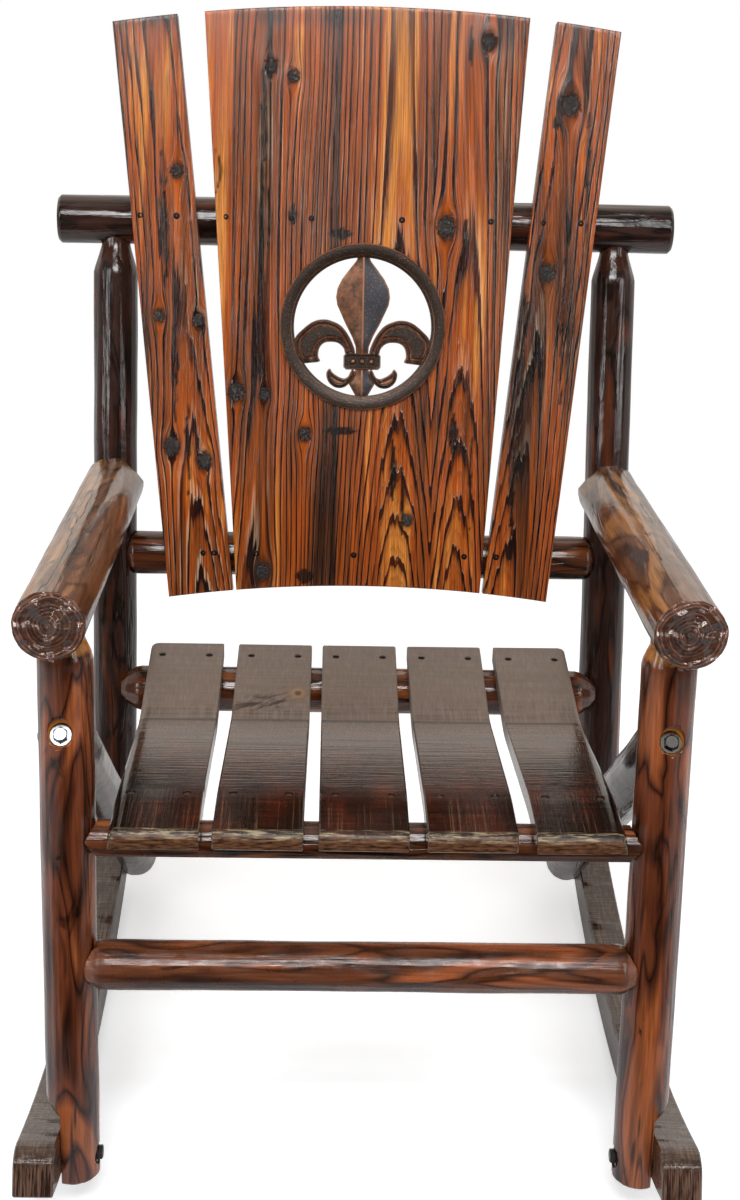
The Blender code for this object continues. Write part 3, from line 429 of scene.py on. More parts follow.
def settle(obj):
    """Turns an object's modifiers into its plain mesh."""
    bpy.context.view_layer.update()
    graph = bpy.context.evaluated_depsgraph_get()
    mesh = bpy.data.meshes.new_from_object(obj.evaluated_get(graph))
    obj.modifiers.clear()
    old = obj.data
    obj.data = mesh
    mesh.name = obj.name
    bpy.data.meshes.remove(old)


def combine(obj, other, operation):
    """One exact Boolean, after which the other shape is gone."""
    boolean = obj.modifiers.new("shape", "BOOLEAN")
    boolean.operation = operation
    boolean.solver = "EXACT"
    boolean.object = other
    settle(obj)
    bpy.data.objects.remove(other, do_unlink=True)


def read(items, name, width):
    """One property of a mesh's points or faces, as rows of numbers."""
    values = np.empty(len(items) * width, np.float32)
    items.foreach_get(name, values)
    return values.reshape(-1, width).astype(float)


def store(mesh, name, values):
    """A point attribute, of floats or of vectors."""
    vector = values.ndim == 2
    attribute = mesh.attributes.new(name, "FLOAT_VECTOR" if vector else "FLOAT", "POINT")
    attribute.data.foreach_set("vector" if vector else "value", values.astype(np.float32).ravel())


def ripples(points, wavelengths, seed, count=14):
    """Smooth seeded noise of about -1 to 1; wavelengths holds one length for each axis."""
    rng = np.random.default_rng(seed)
    scaled = points / np.array(wavelengths)
    total = np.zeros(len(points))
    for _ in range(count):
        way = rng.normal(size=scaled.shape[1])
        way /= np.linalg.norm(way) + 1e-9
        total += np.sin(math.tau * (scaled @ way) * rng.uniform(0.5, 1.4) + rng.uniform(0, math.tau))
    return total / math.sqrt(count / 2)


def circle(sides):
    """Points of the unit circle, as (cosine, sine)."""
    turns = [math.tau * i / sides for i in range(sides)]
    return [(math.cos(turn), math.sin(turn)) for turn in turns]


def tube_faces(rows, sides, closed=False):
    """Faces between rows of points that each go round once."""
    faces = []
    for row in range(rows if closed else rows - 1):
        first, second = row * sides, (row + 1) % rows * sides
        for i in range(sides):
            j = (i + 1) % sides
            faces.append((first + i, first + j, second + j, second + i))
    return faces


def paint(mesh, *materials):
    """Gives a mesh its materials, by their names."""
    mesh.materials.clear()
    for name in materials:
        mesh.materials.append(bpy.data.materials[name])


def dress(obj, node, slot, angle):
    """Smooths a finished piece and puts it on the chair in place of its CAD node."""
    obj.data.shade_smooth()
    obj.data.set_sharp_from_angle(angle=math.radians(angle))
    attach(obj, "root")
    if node:
        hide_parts(node)


# Logs


def log_axis(mesh):
    """Frame and half-width across flats of a CAD log's round part, from its side faces."""
    normals = read(mesh.polygons, "normal", 3)
    middles = read(mesh.polygons, "center", 3)
    areas = read(mesh.polygons, "area", 1)[:, 0]
    weights = areas
    for _ in range(4):
        spread = (normals * weights[:, None]).T @ normals
        axis = np.linalg.eigh(spread)[1][:, 0]
        weights = areas * (np.abs(normals @ axis) < 0.05)
    axis *= 1 if axis[np.argmax(np.abs(axis))] > 0 else -1
    across = np.cross(axis, (0, 1, 0) if abs(axis[1]) < 0.7 else (1, 0, 0))
    across /= np.linalg.norm(across)
    other = np.cross(axis, across)
    flat = np.stack([normals @ across, normals @ other, np.ones(len(areas))], 1)
    reach = np.einsum("ij,ij->i", normals, middles)
    trust = weights
    # Faces that don't fit, such as those of a notch, lose their say
    for _ in range(25):
        fit = np.linalg.lstsq(flat * trust[:, None], reach * trust, rcond=None)[0]
        trust = weights / (1 + ((flat @ fit - reach) / (0.3 * MM)) ** 2)
    turn = Matrix((across, other, axis)).transposed().to_4x4()
    return Matrix.Translation(Vector(across * fit[0] + other * fit[1])) @ turn, fit[2]


def log_outline(cutter, place, stations, sides):
    """Half-widths of a CAD log's outline at places along it, cast from outside."""
    shape = bmesh.new()
    shape.from_mesh(cutter.data)
    tree = BVHTree.FromBMesh(shape)
    shape.free()
    start = 0.1
    rays = [place.to_3x3() @ Vector((*spot, 0)) for spot in circle(sides * 2)]
    widths = []
    for along in stations:
        middle = place @ Vector((0, 0, along))
        hits = [tree.ray_cast(middle + ray * start, -ray, start) for ray in rays]
        widths.append(max([0.0, *(start - hit[3] for hit in hits if hit[0] is not None)]))
    return np.array(widths) * math.cos(math.pi / sides)


def even_steps(low, high, near, step):
    """Places from low to high: as near gives them at both ends, and even between."""
    count = max(int((high - low - 2 * near[-1]) / step), 2)
    middle = np.linspace(low + near[-1], high - near[-1], count + 1)
    return np.concatenate([low + near[:-1], middle, (high - near[:-1])[::-1]])


def moved(points, matrix):
    """Rows of points under a 4 x 4 matrix."""
    matrix = np.array(matrix)
    return points @ matrix[:3, :3].T + matrix[:3, 3]


def make_log(node, finish, seed, shape):
    """A peeled log just inside its CAD solid, whose joints it takes by a Boolean."""
    cutter = shape_object(f"{node}_cut", closed_copy(node))
    place, half = log_axis(cutter.data)
    local = np.array([place.inverted() @ v.co for v in cutter.data.vertices])
    low, high = local[:, 2].min(), local[:, 2].max()
    stations = even_steps(low, high, LOG_END_STEPS, shape.log_step)
    sides = CAD_ARM_SIDES if finish == "arm" else CAD_LOG_SIDES
    widths = np.minimum(log_outline(cutter, place, stations, sides), half)
    stations = np.concatenate([[low - 2 * MM], stations, [high + 2 * MM]])
    widths = np.concatenate([widths[:1], widths, widths[-1:]])
    around = shape.log_facets
    turn, along = np.meshgrid(np.linspace(0, math.tau, around, endpoint=False), stations)
    width = np.repeat(widths[:, None], around, 1)

    # Whittled flats where the log tapers
    rng = np.random.default_rng(seed)
    cuts = np.sort(rng.uniform(-0.25, 0.25, KNIFE_CUTS) + np.arange(KNIFE_CUTS)) * math.tau / KNIFE_CUTS
    nearest = np.min(np.abs((turn[..., None] - cuts + math.pi) % math.tau - math.pi), axis=-1)
    whittled = width * math.cos(math.pi / KNIFE_CUTS * 1.35) / np.cos(nearest)
    taper = np.clip((half - width) / (2.5 * MM), 0, 1)
    if "post" not in node and "leg" not in node and node != "top_rail":
        width = np.where(taper > 0, width + (np.minimum(whittled, width) - width) * taper, width)

    # Drawknife waves and long flats
    cells = np.stack([np.cos(turn), np.sin(turn), along], -1).reshape(-1, 3)
    wave = ripples(cells, (1.1, 1.1, 0.09), seed)
    flats = np.abs(ripples(cells, (0.35, 0.35, 0.5), seed + 100))
    dip = (0.5 + 0.25 * wave + 0.5 * flats).reshape(turn.shape)
    width = width - SKIN - shape.ripple * np.clip(dip, 0, 2) * np.clip(width / half, 0, 1)

    points = np.stack([width * np.cos(turn), width * np.sin(turn), along], -1).reshape(-1, 3)
    last = (len(stations) - 1) * around
    faces = tube_faces(len(stations), around)
    faces += [tuple(reversed(range(around))), tuple(range(last, last + around))]
    log = mesh_object(f"{node}_log", moved(points, place), faces)
    combine(log, cutter, "INTERSECT")
    mesh = log.data
    grain = moved(read(mesh.vertices, "co", 3), place.inverted())
    store(mesh, "grain", grain + np.array((0, 0, 3.7 * seed)))
    store(mesh, "cut", np.clip((half - 1.5 * MM - np.hypot(grain[:, 0], grain[:, 1])) / (4 * MM), 0, 1))
    paint(mesh, f"{finish}_log_varnished", "log_end_grain")
    axis = place.to_3x3() @ Vector((0, 0, 1))
    for face in mesh.polygons:
        face.material_index = int(abs(face.normal.dot(axis)) > 0.85)
    dress(log, node, LOG_FINISHES[finish][0], 32)


# Boards of the back


def board_heights(x):
    """Bottom and top of the fan at a place across it."""
    return [middle - x * x / (2 * radius) for middle, radius in (BOARD_BOTTOM, BOARD_TOP)]


def board_grain(board, x, up):
    """Grain line that flows round the knots, and each place's share of a knot."""
    line = x.copy()
    knot = np.zeros_like(x)
    for across, along, radius in board["knots"]:
        dx = (x - across) / radius
        reach = dx * dx + ((up - along) / (radius * 2.2)) ** 2
        line -= 0.9 * (x - across) / np.maximum(reach, 1.0)
        core = dx * dx + ((up - along) / (radius * 1.2)) ** 2
        knot = np.maximum(knot, np.exp(-0.7 * core))
    cells = np.stack([line, up], -1)
    drift = ripples(cells, (0.25, 0.90), board["seed"])
    fine = ripples(cells, (0.035, 0.28), board["seed"] + 5)
    return line + 0.0018 * drift + 0.0003 * fine, knot


def board_rings(board, line, up, depth):
    """Count of growth rings, closed round the nearest pith behind the board."""
    count = np.full_like(line, 1e9)
    for across, lean, behind, rise, before in board["piths"]:
        middle = across + lean * (up - 0.33)
        below = behind + rise * PITH_LEVELS * np.tanh(up / PITH_LEVELS) + depth
        away = np.sqrt((line - middle) ** 2 + below**2)
        count = np.minimum(count, away / RING_SPACING + before)
    return count


def board_burn(board, x, up):
    """Black flames with pointed ends, full or only along their outline."""
    bend = 0.0006 * ripples(np.stack([x, up], -1), (0.03, 0.05), board["seed"] + 21)
    burn = np.zeros_like(x)
    for across, along, half_width, half_length, inside in board["burns"]:
        rise = np.clip(1 - np.abs((up - along) / half_length) ** 1.6, 0, 1)
        reach = np.abs(x - across + bend) / (half_width * np.maximum(rise, 1e-3))
        solid = np.clip(1.5 - reach, 0, 1) * (rise > 0.02)
        rim = np.exp(-(((reach - 0.85) / 0.28) ** 2)) * (rise > 0.02)
        burn = np.maximum(burn, np.maximum(solid * inside, rim * 0.95))
    return burn


def board_tone(board, x, up):
    """How far the torch darkened each place, less some painted light over each board's lower part, from
    0 to 1.
    """
    seed = board["seed"]
    cells = np.stack([x, up], -1)
    tone = 0.41 + 0.09 * ripples(cells, (0.05, 0.40), seed + 9)
    tone += 0.10 * ripples(cells, (0.013, 0.55), seed + 12)
    # Painted light: the lowest 0.3 m of each board is painted lighter, most at its foot
    tone -= 0.08 * np.clip((0.30 - up) / 0.2, 0, 1)
    for across, along, half_width, half_height, amount in board["patches"]:
        tone += amount * np.exp(-(((x - across) / half_width) ** 2) - ((up - along) / half_height) ** 2)
    return np.clip(tone, 0, 1)


def make_board(name, shape):
    """A sawn board of the fan, with raised grain, worn edges and its growth rings."""
    board = BOARDS[name]
    foot, head = board["foot"], board["head"]
    margin = 0.12 * MM
    rounding = shape.edge_round
    width, length = head[1] - head[0], BOARD_TOP[0]
    near = np.array(EDGE_SHARES) * rounding
    shares = [even_steps(0, size, near, shape.board_step) / size for size in (width, length)]
    u, v = np.meshgrid(*shares)
    low_x = foot[0] + margin + (foot[1] - foot[0] - 2 * margin) * u
    high_x = head[0] + margin + (width - 2 * margin) * u
    x = low_x + (high_x - low_x) * v
    low, high = board_heights(low_x)[0], board_heights(high_x)[1]
    up = low + margin + (high - low - 2 * margin) * v
    inset = np.minimum(np.minimum(u, 1 - u) * width, np.minimum(v, 1 - v) * length)
    short = np.clip(rounding - inset, 0, rounding)
    drop = rounding - np.sqrt(np.maximum(rounding**2 - short**2, 0))

    x, up, drop = x.ravel(), up.ravel(), drop.ravel()
    line, knot = board_grain(board, x, up)
    raised = 0.5 - 0.5 * np.cos(math.tau * board_rings(board, line, up, 0))
    front = BOARD_THICKNESS - SKIN - drop - shape.raised_grain * raised
    front += np.minimum(0.25 * MM * knot, 0.04 * MM + drop)
    rear = SKIN + drop
    rows, columns = u.shape
    size = rows * columns
    flat = np.concatenate([np.stack([x, up, front], -1), np.stack([x, up, rear], -1)])
    faces = []
    for r in range(rows - 1):
        for c in range(columns - 1):
            a = r * columns + c
            faces.append((a, a + 1, a + columns + 1, a + columns))
            faces.append((size + a, size + a + columns, size + a + columns + 1, size + a + 1))
    border = list(range(columns))
    border += [r * columns + columns - 1 for r in range(1, rows)]
    border += [(rows - 1) * columns + c for c in range(columns - 2, -1, -1)]
    border += [r * columns for r in range(rows - 2, 0, -1)]
    faces += [(b, a, size + a, size + b) for a, b in zip(border, border[1:] + border[:1])]

    turn, origin = np.array(BACK_TURN), np.array(BACK_ORIGIN)
    wood = mesh_object(f"{name}_wood", flat @ turn.T + origin, faces)
    if name == "back_board_centre":
        combine(wood, hole_cutter(), "DIFFERENCE")
    mesh = wood.data
    x, up, depth = ((read(mesh.vertices, "co", 3) - origin) @ turn).T
    line, knot = board_grain(board, x, up)
    store(mesh, "ring", board_rings(board, line, up, depth))
    store(mesh, "tone", board_tone(board, x, up))
    store(mesh, "burn", board_burn(board, x, up))
    store(mesh, "knot", knot)
    store(mesh, "grain", np.stack([line, depth, up + 1.3 * board["seed"]], -1))
    paint(mesh, "glued_board_varnished" if name == "back_board_centre" else "board_varnished")
    dress(wood, name, "board", 40)


def hole_cutter():
    """A fine round rod through the centre board."""
    sides = 96
    points = []
    for depth in (-0.01, BOARD_THICKNESS + 0.01):
        for across, up in circle(sides):
            spot = (MEDALLION_HOLE * across, MEDALLION_UP + MEDALLION_HOLE * up, depth)
            points.append(BACK_ORIGIN + BACK_TURN @ Vector(spot))
    caps = [tuple(reversed(range(sides))), tuple(range(sides, sides * 2))]
    return mesh_object("medallion_hole", points, caps + tube_faces(2, sides))


# Seat slats and rockers


def make_plank(node, cells, finish, seed):
    """A sawn plank on its CAD node's own shape, cut across into cells of a given size."""
    shape = closed_copy(node)
    bmesh.ops.dissolve_limit(
        shape, angle_limit=math.radians(0.05), verts=shape.verts, edges=shape.edges
    )
    low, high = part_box(node)
    for axis, step in enumerate(cells):
        if not step:
            continue
        normal = Vector([float(i == axis) for i in range(3)])
        count = int((high[axis] - low[axis]) / step)
        for i in range(1, count):
            spot = normal * (low[axis] + (high[axis] - low[axis]) * i / count)
            geometry = shape.verts[:] + shape.edges[:] + shape.faces[:]
            bmesh.ops.bisect_plane(shape, geom=geometry, plane_co=spot, plane_no=normal, dist=1e-6)
    plank = shape_object(f"{node}_plank", shape)
    mesh = plank.data
    store(mesh, "grain", read(mesh.vertices, "co", 3) + np.array((PLANK_SHIFT * seed, 0, 0)))
    paint(mesh, f"{finish}_varnished")
    dress(plank, node, finish, 32)


# Medallion


def smooth_outline(points, steps=4):
    """A closed curve through the points, by Catmull and Rom's formula."""
    curve = []
    count = len(points)
    for i in range(count):
        a, b, c, d = (Vector(points[(i + k) % count]) for k in (-1, 0, 1, 2))
        for step in range(steps):
            t = step / steps
            bend = (2 * a - 5 * b + 4 * c - d) * t**2
            swing = (3 * b - 3 * c + d - a) * t**3
            curve.append((2 * b + (c - a) * t + bend + swing) / 2)
    return curve


def edge_distance(points, outline):
    """Distance from each point to a closed outline."""
    best = np.full(len(points), 1e9)
    for a, b in zip(outline, np.roll(outline, -1, axis=0)):
        run = b - a
        share = np.clip((points - a) @ run / max(run @ run, 1e-12), 0, 1)
        best = np.minimum(best, np.linalg.norm(points - (a + share[:, None] * run), axis=1))
    return best


def cast_relief(outline, step, rise):
    """A closed cushion over an outline; rise turns the distance from the edge into height."""
    outline = np.array([tuple(p) for p in outline])
    after = np.roll(outline, -1, axis=0)
    if (outline[:, 0] * after[:, 1] - outline[:, 1] * after[:, 0]).sum() < 0:
        outline = outline[::-1].copy()
    low, high = outline.min(0), outline.max(0)
    grid = np.meshgrid(np.arange(low[0], high[0], step), np.arange(low[1], high[1], step))
    grid = np.stack(grid, -1).reshape(-1, 2)
    inside = np.zeros(len(grid), bool)
    for a, b in zip(outline, np.roll(outline, -1, axis=0)):
        crosses = (a[1] > grid[:, 1]) != (b[1] > grid[:, 1])
        height = b[1] - a[1]
        at = a[0] + (grid[:, 1] - a[1]) * (b[0] - a[0]) / (height if abs(height) > 1e-12 else 1e-12)
        inside ^= crosses & (grid[:, 0] < at)
    grid = grid[inside]
    grid = grid[edge_distance(grid, outline) > step * 0.45]
    every = [Vector(p) for p in np.concatenate([outline, grid])]
    verts, _, triangles, *_ = delaunay_2d_cdt(every, [], [list(range(len(outline)))], 1, 1e-7)
    flat = np.array([tuple(v) for v in verts])
    away = edge_distance(flat, outline)
    size = len(flat)
    back = np.full(size, CAST_BACK)
    points = np.concatenate([np.column_stack([flat, z]) for z in (rise(flat, away), back)])
    faces = [tuple(t) for t in triangles]
    faces += [tuple(size + i for i in reversed(t)) for t in triangles]
    edges = dict.fromkeys(pair for a, b, c in triangles for pair in ((a, b), (b, c), (c, a)))
    faces += [(b, a, size + a, size + b) for a, b in edges if (b, a) not in edges]
    return points, faces, np.concatenate([away, away])


def dome_rise(height, reach):
    """Height of a rounded bead or ridge over its outline."""
    def rise(flat, away):
        share = np.clip(away / reach, 0, 1)
        return CAST_EDGE + height * np.sqrt(1 - (1 - share) ** 2)

    return rise


def blade_rise(flat, away):
    """Two flat facets that meet in a ridge down the middle, low under the band."""
    across = np.abs(flat[:, 0])
    share = away / np.maximum(away + across, 1e-6)
    under_band = np.exp(-(((flat[:, 1] + 38.5 * MM) / (11 * MM)) ** 4))
    return 1.6 * MM + 5.4 * MM * np.clip(share, 0, 1) * (1 - 0.7 * under_band)


def leaf_rise(flat, away):
    """A rounded border, a groove inside it and a raised leaf in the middle."""
    border = 4.4 * MM * np.sin(np.clip(away / (5.6 * MM), 0, 1) * math.pi) ** 0.5
    middle = 5.0 * MM * np.clip((away - 5.2 * MM) / (1.6 * MM), 0, 1) ** 0.7
    return CAST_EDGE + np.maximum(border, middle)


def band_rise(flat, away):
    """A flat band with a raised border."""
    border = np.clip(away / (0.8 * MM), 0, 1)
    return CAST_EDGE + 5.0 * MM * border - 0.9 * MM * np.clip((away - 1.6 * MM) / (0.6 * MM), 0, 1)


def medallion_parts():
    """Outline, rise and kind of each cast part inside the ring."""
    unit = MEDALLION_RADIUS / 100
    blade = [*BLADE, *((-across, up) for across, up in reversed(BLADE))]
    parts = [([Vector(p) * unit for p in blade], blade_rise, "blade")]
    for side in (-1, 1):
        for outline, rise, kind in (
            (PETAL, leaf_rise, "petal"), (CURL, dome_rise(4.6 * MM, 4.5 * MM), "curl")
        ):
            curve = [Vector((side * p.x, p.y)) * unit for p in smooth_outline(outline)]
            parts.append((curve, rise, kind))
    parts.append(([Vector(p) * unit for p in BAND], band_rise, "band"))
    for spot in BEAD_SPOTS:
        bead = [Vector(spot) * unit + Vector(way) * BEAD_RADIUS * unit for way in circle(23)]
        parts.append((bead, dome_rise(7.6 * MM, BEAD_RADIUS * unit), "bead"))
    return parts


def medallion_ring():
    """The ring's section turned round: a flat band, then a lower lip inside it."""
    sides = 144
    points = []
    for edge, away, height in RING_SECTION:
        points += [
            ((edge + away * MM) * across, (edge + away * MM) * up, height * MM)
            for across, up in circle(sides)
        ]
    return points, tube_faces(len(RING_SECTION), sides, closed=True)


def make_medallion(metal):
    """The casting: a ring, a ridged blade, two petals, two curls and a beaded band."""
    points, faces, away, kinds = [], [], [], []
    for outline, rise, kind in medallion_parts():
        some, shape, edge = cast_relief(outline, metal.relief_step, rise)
        faces += [tuple(i + len(points) for i in face) for face in shape]
        points += list(some)
        if kind == "bead":
            edge = np.clip(3.4 * MM - edge, 0.9 * MM, None)
        elif kind in ("blade", "band"):
            edge = np.minimum(edge, 3.0 * MM)
        away += list(edge)
        kinds += [kind] * len(some)
    ring_points, ring_faces = medallion_ring()
    faces += [tuple(i + len(points) for i in face) for face in ring_faces]
    points += ring_points
    radius = np.hypot(*np.array(ring_points)[:, :2].T)
    lip = np.abs(radius - MEDALLION_INNER - 3.2 * MM) < 0.5 * MM
    away += list(np.where(lip, 1.0 * MM, np.minimum(MEDALLION_RADIUS - radius, 3.0 * MM)))
    kinds = np.array(kinds + ["ring"] * len(ring_points))
    centre = BACK_ORIGIN + BACK_UP * MEDALLION_UP + BACK_OUT * (BOARD_THICKNESS + 0.35 * MM)
    points = np.array([tuple(p) for p in points])
    turned = points @ np.array(BACK_TURN).T + np.array(centre)
    casting = mesh_object("medallion_casting", turned, faces)
    mesh = casting.data
    store(mesh, "cast", points)
    store(mesh, "edge", np.array(away) / MM)
    store(mesh, "blade", (kinds == "blade").astype(float))
    store(mesh, "chased", (kinds == "curl").astype(float))
    paint(mesh, "bronze_patinated")
    dress(casting, "medallion", "bronze", 30)


# Screws of the boards, set by Geometry Nodes


def screw_head_object(radius):
    """A countersunk head with a cross recess, seen from outside."""
    sides = 16
    rows = [[reach * radius] * sides for reach, _ in SCREW_SECTION]
    rows.append([radius * (0.34 if i % 4 == 0 else 0.14) for i in range(sides)])
    heights = [height for _, height in SCREW_SECTION] + [0.22]
    points = []
    for row, height in zip(rows, heights):
        points += [(r * x, r * y, height * MM) for r, (x, y) in zip(row, circle(sides))]
    pit = len(points)
    points.append((0, 0, -0.8 * MM))
    faces = tube_faces(len(rows), sides)
    faces += [(pit - sides + i, pit - sides + (i + 1) % sides, pit) for i in range(sides)]
    faces.append(tuple(reversed(range(sides))))
    return mesh_object("screw_head", points, faces)


def screw_tree(head, material):
    """Geometry Nodes: one screw head on each point, turned by a seeded angle."""
    tree = bpy.data.node_groups.new("board_screws", "GeometryNodeTree")
    add = partial(add_node, tree)
    sockets = tree.interface
    sockets.new_socket("Points", in_out="INPUT", socket_type="NodeSocketGeometry")
    size = sockets.new_socket("Head scale", in_out="INPUT", socket_type="NodeSocketFloat")
    size.default_value = 1.0
    lean = sockets.new_socket("Board lean", in_out="INPUT", socket_type="NodeSocketFloat")
    lean.subtype = "ANGLE"
    sockets.new_socket("Screws", in_out="OUTPUT", socket_type="NodeSocketGeometry")
    points = add("NodeGroupInput")
    group = points.node
    spin = add("FunctionNodeRandomValue", {2: 0.0, 3: math.tau, "Seed": 7}, out=1, data_type="FLOAT")
    turn = add("CombineXYZ", {2: spin})
    tilt = add("CombineXYZ", {0: group.outputs[2]})
    model = add("GeometryNodeObjectInfo", {"Object": head}, out="Geometry")
    heads = add(
        "GeometryNodeInstanceOnPoints",
        {"Points": points, "Instance": model, "Rotation": tilt, "Scale": group.outputs[1]},
    )
    turned = add(
        "GeometryNodeRotateInstances", {"Instances": heads, "Rotation": turn, "Local Space": True}
    )
    real = add("GeometryNodeRealizeInstances", {"Geometry": turned})
    painted = add("GeometryNodeSetMaterial", {"Geometry": real, "Material": material})
    add("NodeGroupOutput", {0: painted})
    return tree, size.identifier, lean.identifier


def make_board_screws(metal):
    """The screws that hold the boards to the rails, and one in the medallion's ring."""
    spots = [(x, TOP_SCREWS_UP, BOARD_THICKNESS - 0.35 * MM) for x in TOP_SCREWS]
    spots += [(x, LOW_SCREWS_UP, BOARD_THICKNESS - 0.35 * MM) for x in LOW_SCREWS]
    spots.append((*RING_SCREW, BOARD_THICKNESS + 5.7 * MM))
    points = [BACK_ORIGIN + BACK_TURN @ Vector(spot) for spot in spots]
    screws = mesh_object("board_screws", points, [])
    head = screw_head_object(metal.screw_head)
    tree, size, lean = screw_tree(head, bpy.data.materials["steel_black_oxide"])
    nodes = screws.modifiers.new("screws", "NODES")
    nodes.node_group = tree
    nodes[size] = 1.0
    nodes[lean] = math.pi / 2 - BACK_LEAN
    settle(screws)
    bpy.data.objects.remove(head, do_unlink=True)
    dress(screws, None, "black_steel", 40)


# Materials


def new_material(name):
    """Empties the material of that name and gives back the function that adds its nodes."""
    material = bpy.data.materials.get(name) or bpy.data.materials.new(name)
    material.use_nodes = True
    material.node_tree.nodes.clear()
    return partial(add_node, material.node_tree)


def stretched(add, vector, cells, move=(0, 0, 0), **noise):
    """Noise drawn out along the grain, with so many cells to the metre on each axis."""
    place = add("Mapping", {"Vector": vector, "Location": move, "Scale": cells})
    return add("TexNoise", {"Vector": place, "Scale": 1.0, **noise})


def summed(add, total, *shares):
    """A value plus others, each times its own weight."""
    for value, weight in shares:
        total = add("Math", {0: value, 1: weight, 2: total}, operation="MULTIPLY_ADD")
    return total


def coat(add, colour, roughness, height, strength, depth, sockets):
    """A surface's relief, its shader and the material's output."""
    bump = add("Bump", {"Strength": strength, "Distance": depth, "Height": height})
    look = {"Base Color": colour, "Roughness": roughness, "Normal": bump, **sockets}
    add("OutputMaterial", {"Surface": add("BsdfPrincipled", look)})


def log_material(finish, wood):
    """Peeled pole, torched and varnished: dark-rimmed orange islands along it, high gloss."""
    _, light, body, dark, cut_colour, black_share, rare, rough = LOG_FINISHES[finish]
    add = new_material(f"{finish}_log_varnished")
    grain = add("Attribute", out="Vector", attribute_name="grain")
    cut = add("Attribute", out="Fac", attribute_name="cut")
    # Islands 20 to 35 mm wide and 80 to 200 mm long
    island = stretched(add, grain, (29, 29, 5.5), Detail=2.0, Roughness=0.4, Distortion=0.9)
    # Streaks 5 to 10 mm wide
    streak = stretched(add, grain, (120, 120, 7), Detail=4.0, Roughness=0.6, Distortion=0.4)
    # Char in patches 30 to 60 mm long
    patch = stretched(add, grain, (34, 34, 11), (5, 3, 1), Detail=3.0, Roughness=0.5, Distortion=1.5)
    # Fibres under a millimetre wide, drawn at 1.2 mm to show
    fibre = stretched(add, grain, (800, 800, 22), Detail=2.0)
    base = add(
        "ValToRGB", {0: island},
        stops=[
            (0.30, dark), (0.42, body), (0.46 + rare, body), (0.50 + rare, dark),
            (0.54 + rare, body), (0.60 + rare, light), (0.68 + rare, light), (0.78 + rare, body),
        ],
    )
    smoke = add("MapRange", {0: streak, 1: 0.34, 2: 0.60, 3: 0.55, 4: 1.15})
    base = add("Mix", {0: 1.0, 6: base, 7: smoke}, **TINTED)
    # Drying checks: thin dark lines along the log
    check = stretched(add, grain, (26, 26, 2.2), (2, 7, 4), Detail=3.0, Roughness=0.55)
    check = add("ValToRGB", {0: check}, stops=[(0.560, 1.0), (0.568, 0.25), (0.574, 0.25), (0.582, 1.0)])
    base = add("Mix", {0: 1.0, 6: base, 7: check}, **TINTED)
    knife = add("MapRange", {0: summed(add, cut, (streak, 0.6)), 1: 0.55, 2: 0.95})
    base = add("Mix", {0: knife, 6: base, 7: cut_colour}, **MIXED)
    burnt = add(
        "ValToRGB", {0: patch},
        stops=[(0.0, 0.92), (black_share - 0.04, 0.86), (black_share + 0.03, 0.0)],
    )
    base = add("Mix", {0: burnt, 6: base, 7: wood.char}, **MIXED)
    thread = add("MapRange", {0: fibre, 1: 0.3, 2: 0.7, 3: 0.74, 4: 1.12})
    colour = add("Mix", {0: 1.0, 6: base, 7: thread}, **TINTED)
    # Varnish that pooled unevenly
    wet = add("TexNoise", {"Vector": grain, "Scale": 60.0, "Detail": 2.0})
    gloss = add("MapRange", {0: wet, 1: 0.3, 2: 0.7, 3: rough * 0.6, 4: rough * 1.4})
    relief = summed(add, 0.0, (streak, 0.9), (fibre, 0.16), (patch, 1.3), (check, 0.6))
    coat(add, colour, gloss, relief, 0.8, 0.9 * MM, VARNISH)


def end_grain_material():
    """Sawn log end under thick varnish: uneven ridged rings and a dark heart."""
    add = new_material("log_end_grain")
    grain = add("Attribute", out="Vector", attribute_name="grain")
    flat = add("Mapping", {"Vector": grain, "Scale": (1, 1, 0)})
    wobble = add("TexNoise", {"Vector": flat, "Scale": 38.0, "Detail": 2.0, "Roughness": 0.4})
    radius = add("VectorMath", {0: flat}, out="Value", operation="LENGTH")
    # Rings bent by up to 4 mm and unevenly strong
    bent = summed(add, radius, (wobble, 0.009))
    ring = add("Math", {0: bent, 1: 1 / END_RING_SPACING}, operation="MULTIPLY")
    part = add("Math", {0: ring}, operation="FRACT")
    ridge = add(
        "ValToRGB", {0: part}, stops=[(0.0, 0.2), (0.35, 0.4), (0.75, 1.0), (0.9, 0.9), (1.0, 0.2)]
    )
    years = add("Math", {0: bent, 1: 120.0}, operation="MULTIPLY")
    year = add("TexNoise", {"W": years, "Scale": 1.0, "Detail": 1.0}, noise_dimensions="1D")
    year = add("MapRange", {0: year, 1: 0.35, 2: 0.65, 3: 0.1, 4: 1.0})
    ridge = add("Math", {0: ridge, 1: year}, operation="MULTIPLY")
    mottle = add("TexNoise", {"Vector": flat, "Scale": 120.0, "Detail": 4.0})
    ridge = summed(add, ridge, (mottle, 0.9))
    # The sawn face itself is uneven, over 15 to 30 mm
    uneven = add("TexNoise", {"Vector": flat, "Scale": 48.0, "Detail": 1.0})
    height = summed(add, 0.0, (ridge, 0.5), (uneven, 11.0))
    tone = add(
        "ValToRGB", {0: ridge},
        stops=[(0.30, "321E16"), (0.70, "523427"), (1.0, "7A5242")],
    )
    # Heart: darker and rough
    heart = add("MapRange", {0: bent, 1: 0.004, 2: 0.032, 3: 0.5, 4: 1.0})
    colour = add("Mix", {0: 1.0, 6: tone, 7: heart}, **TINTED)
    coat(add, colour, 0.13, height, 1.0, 2.3 * MM, VARNISH)


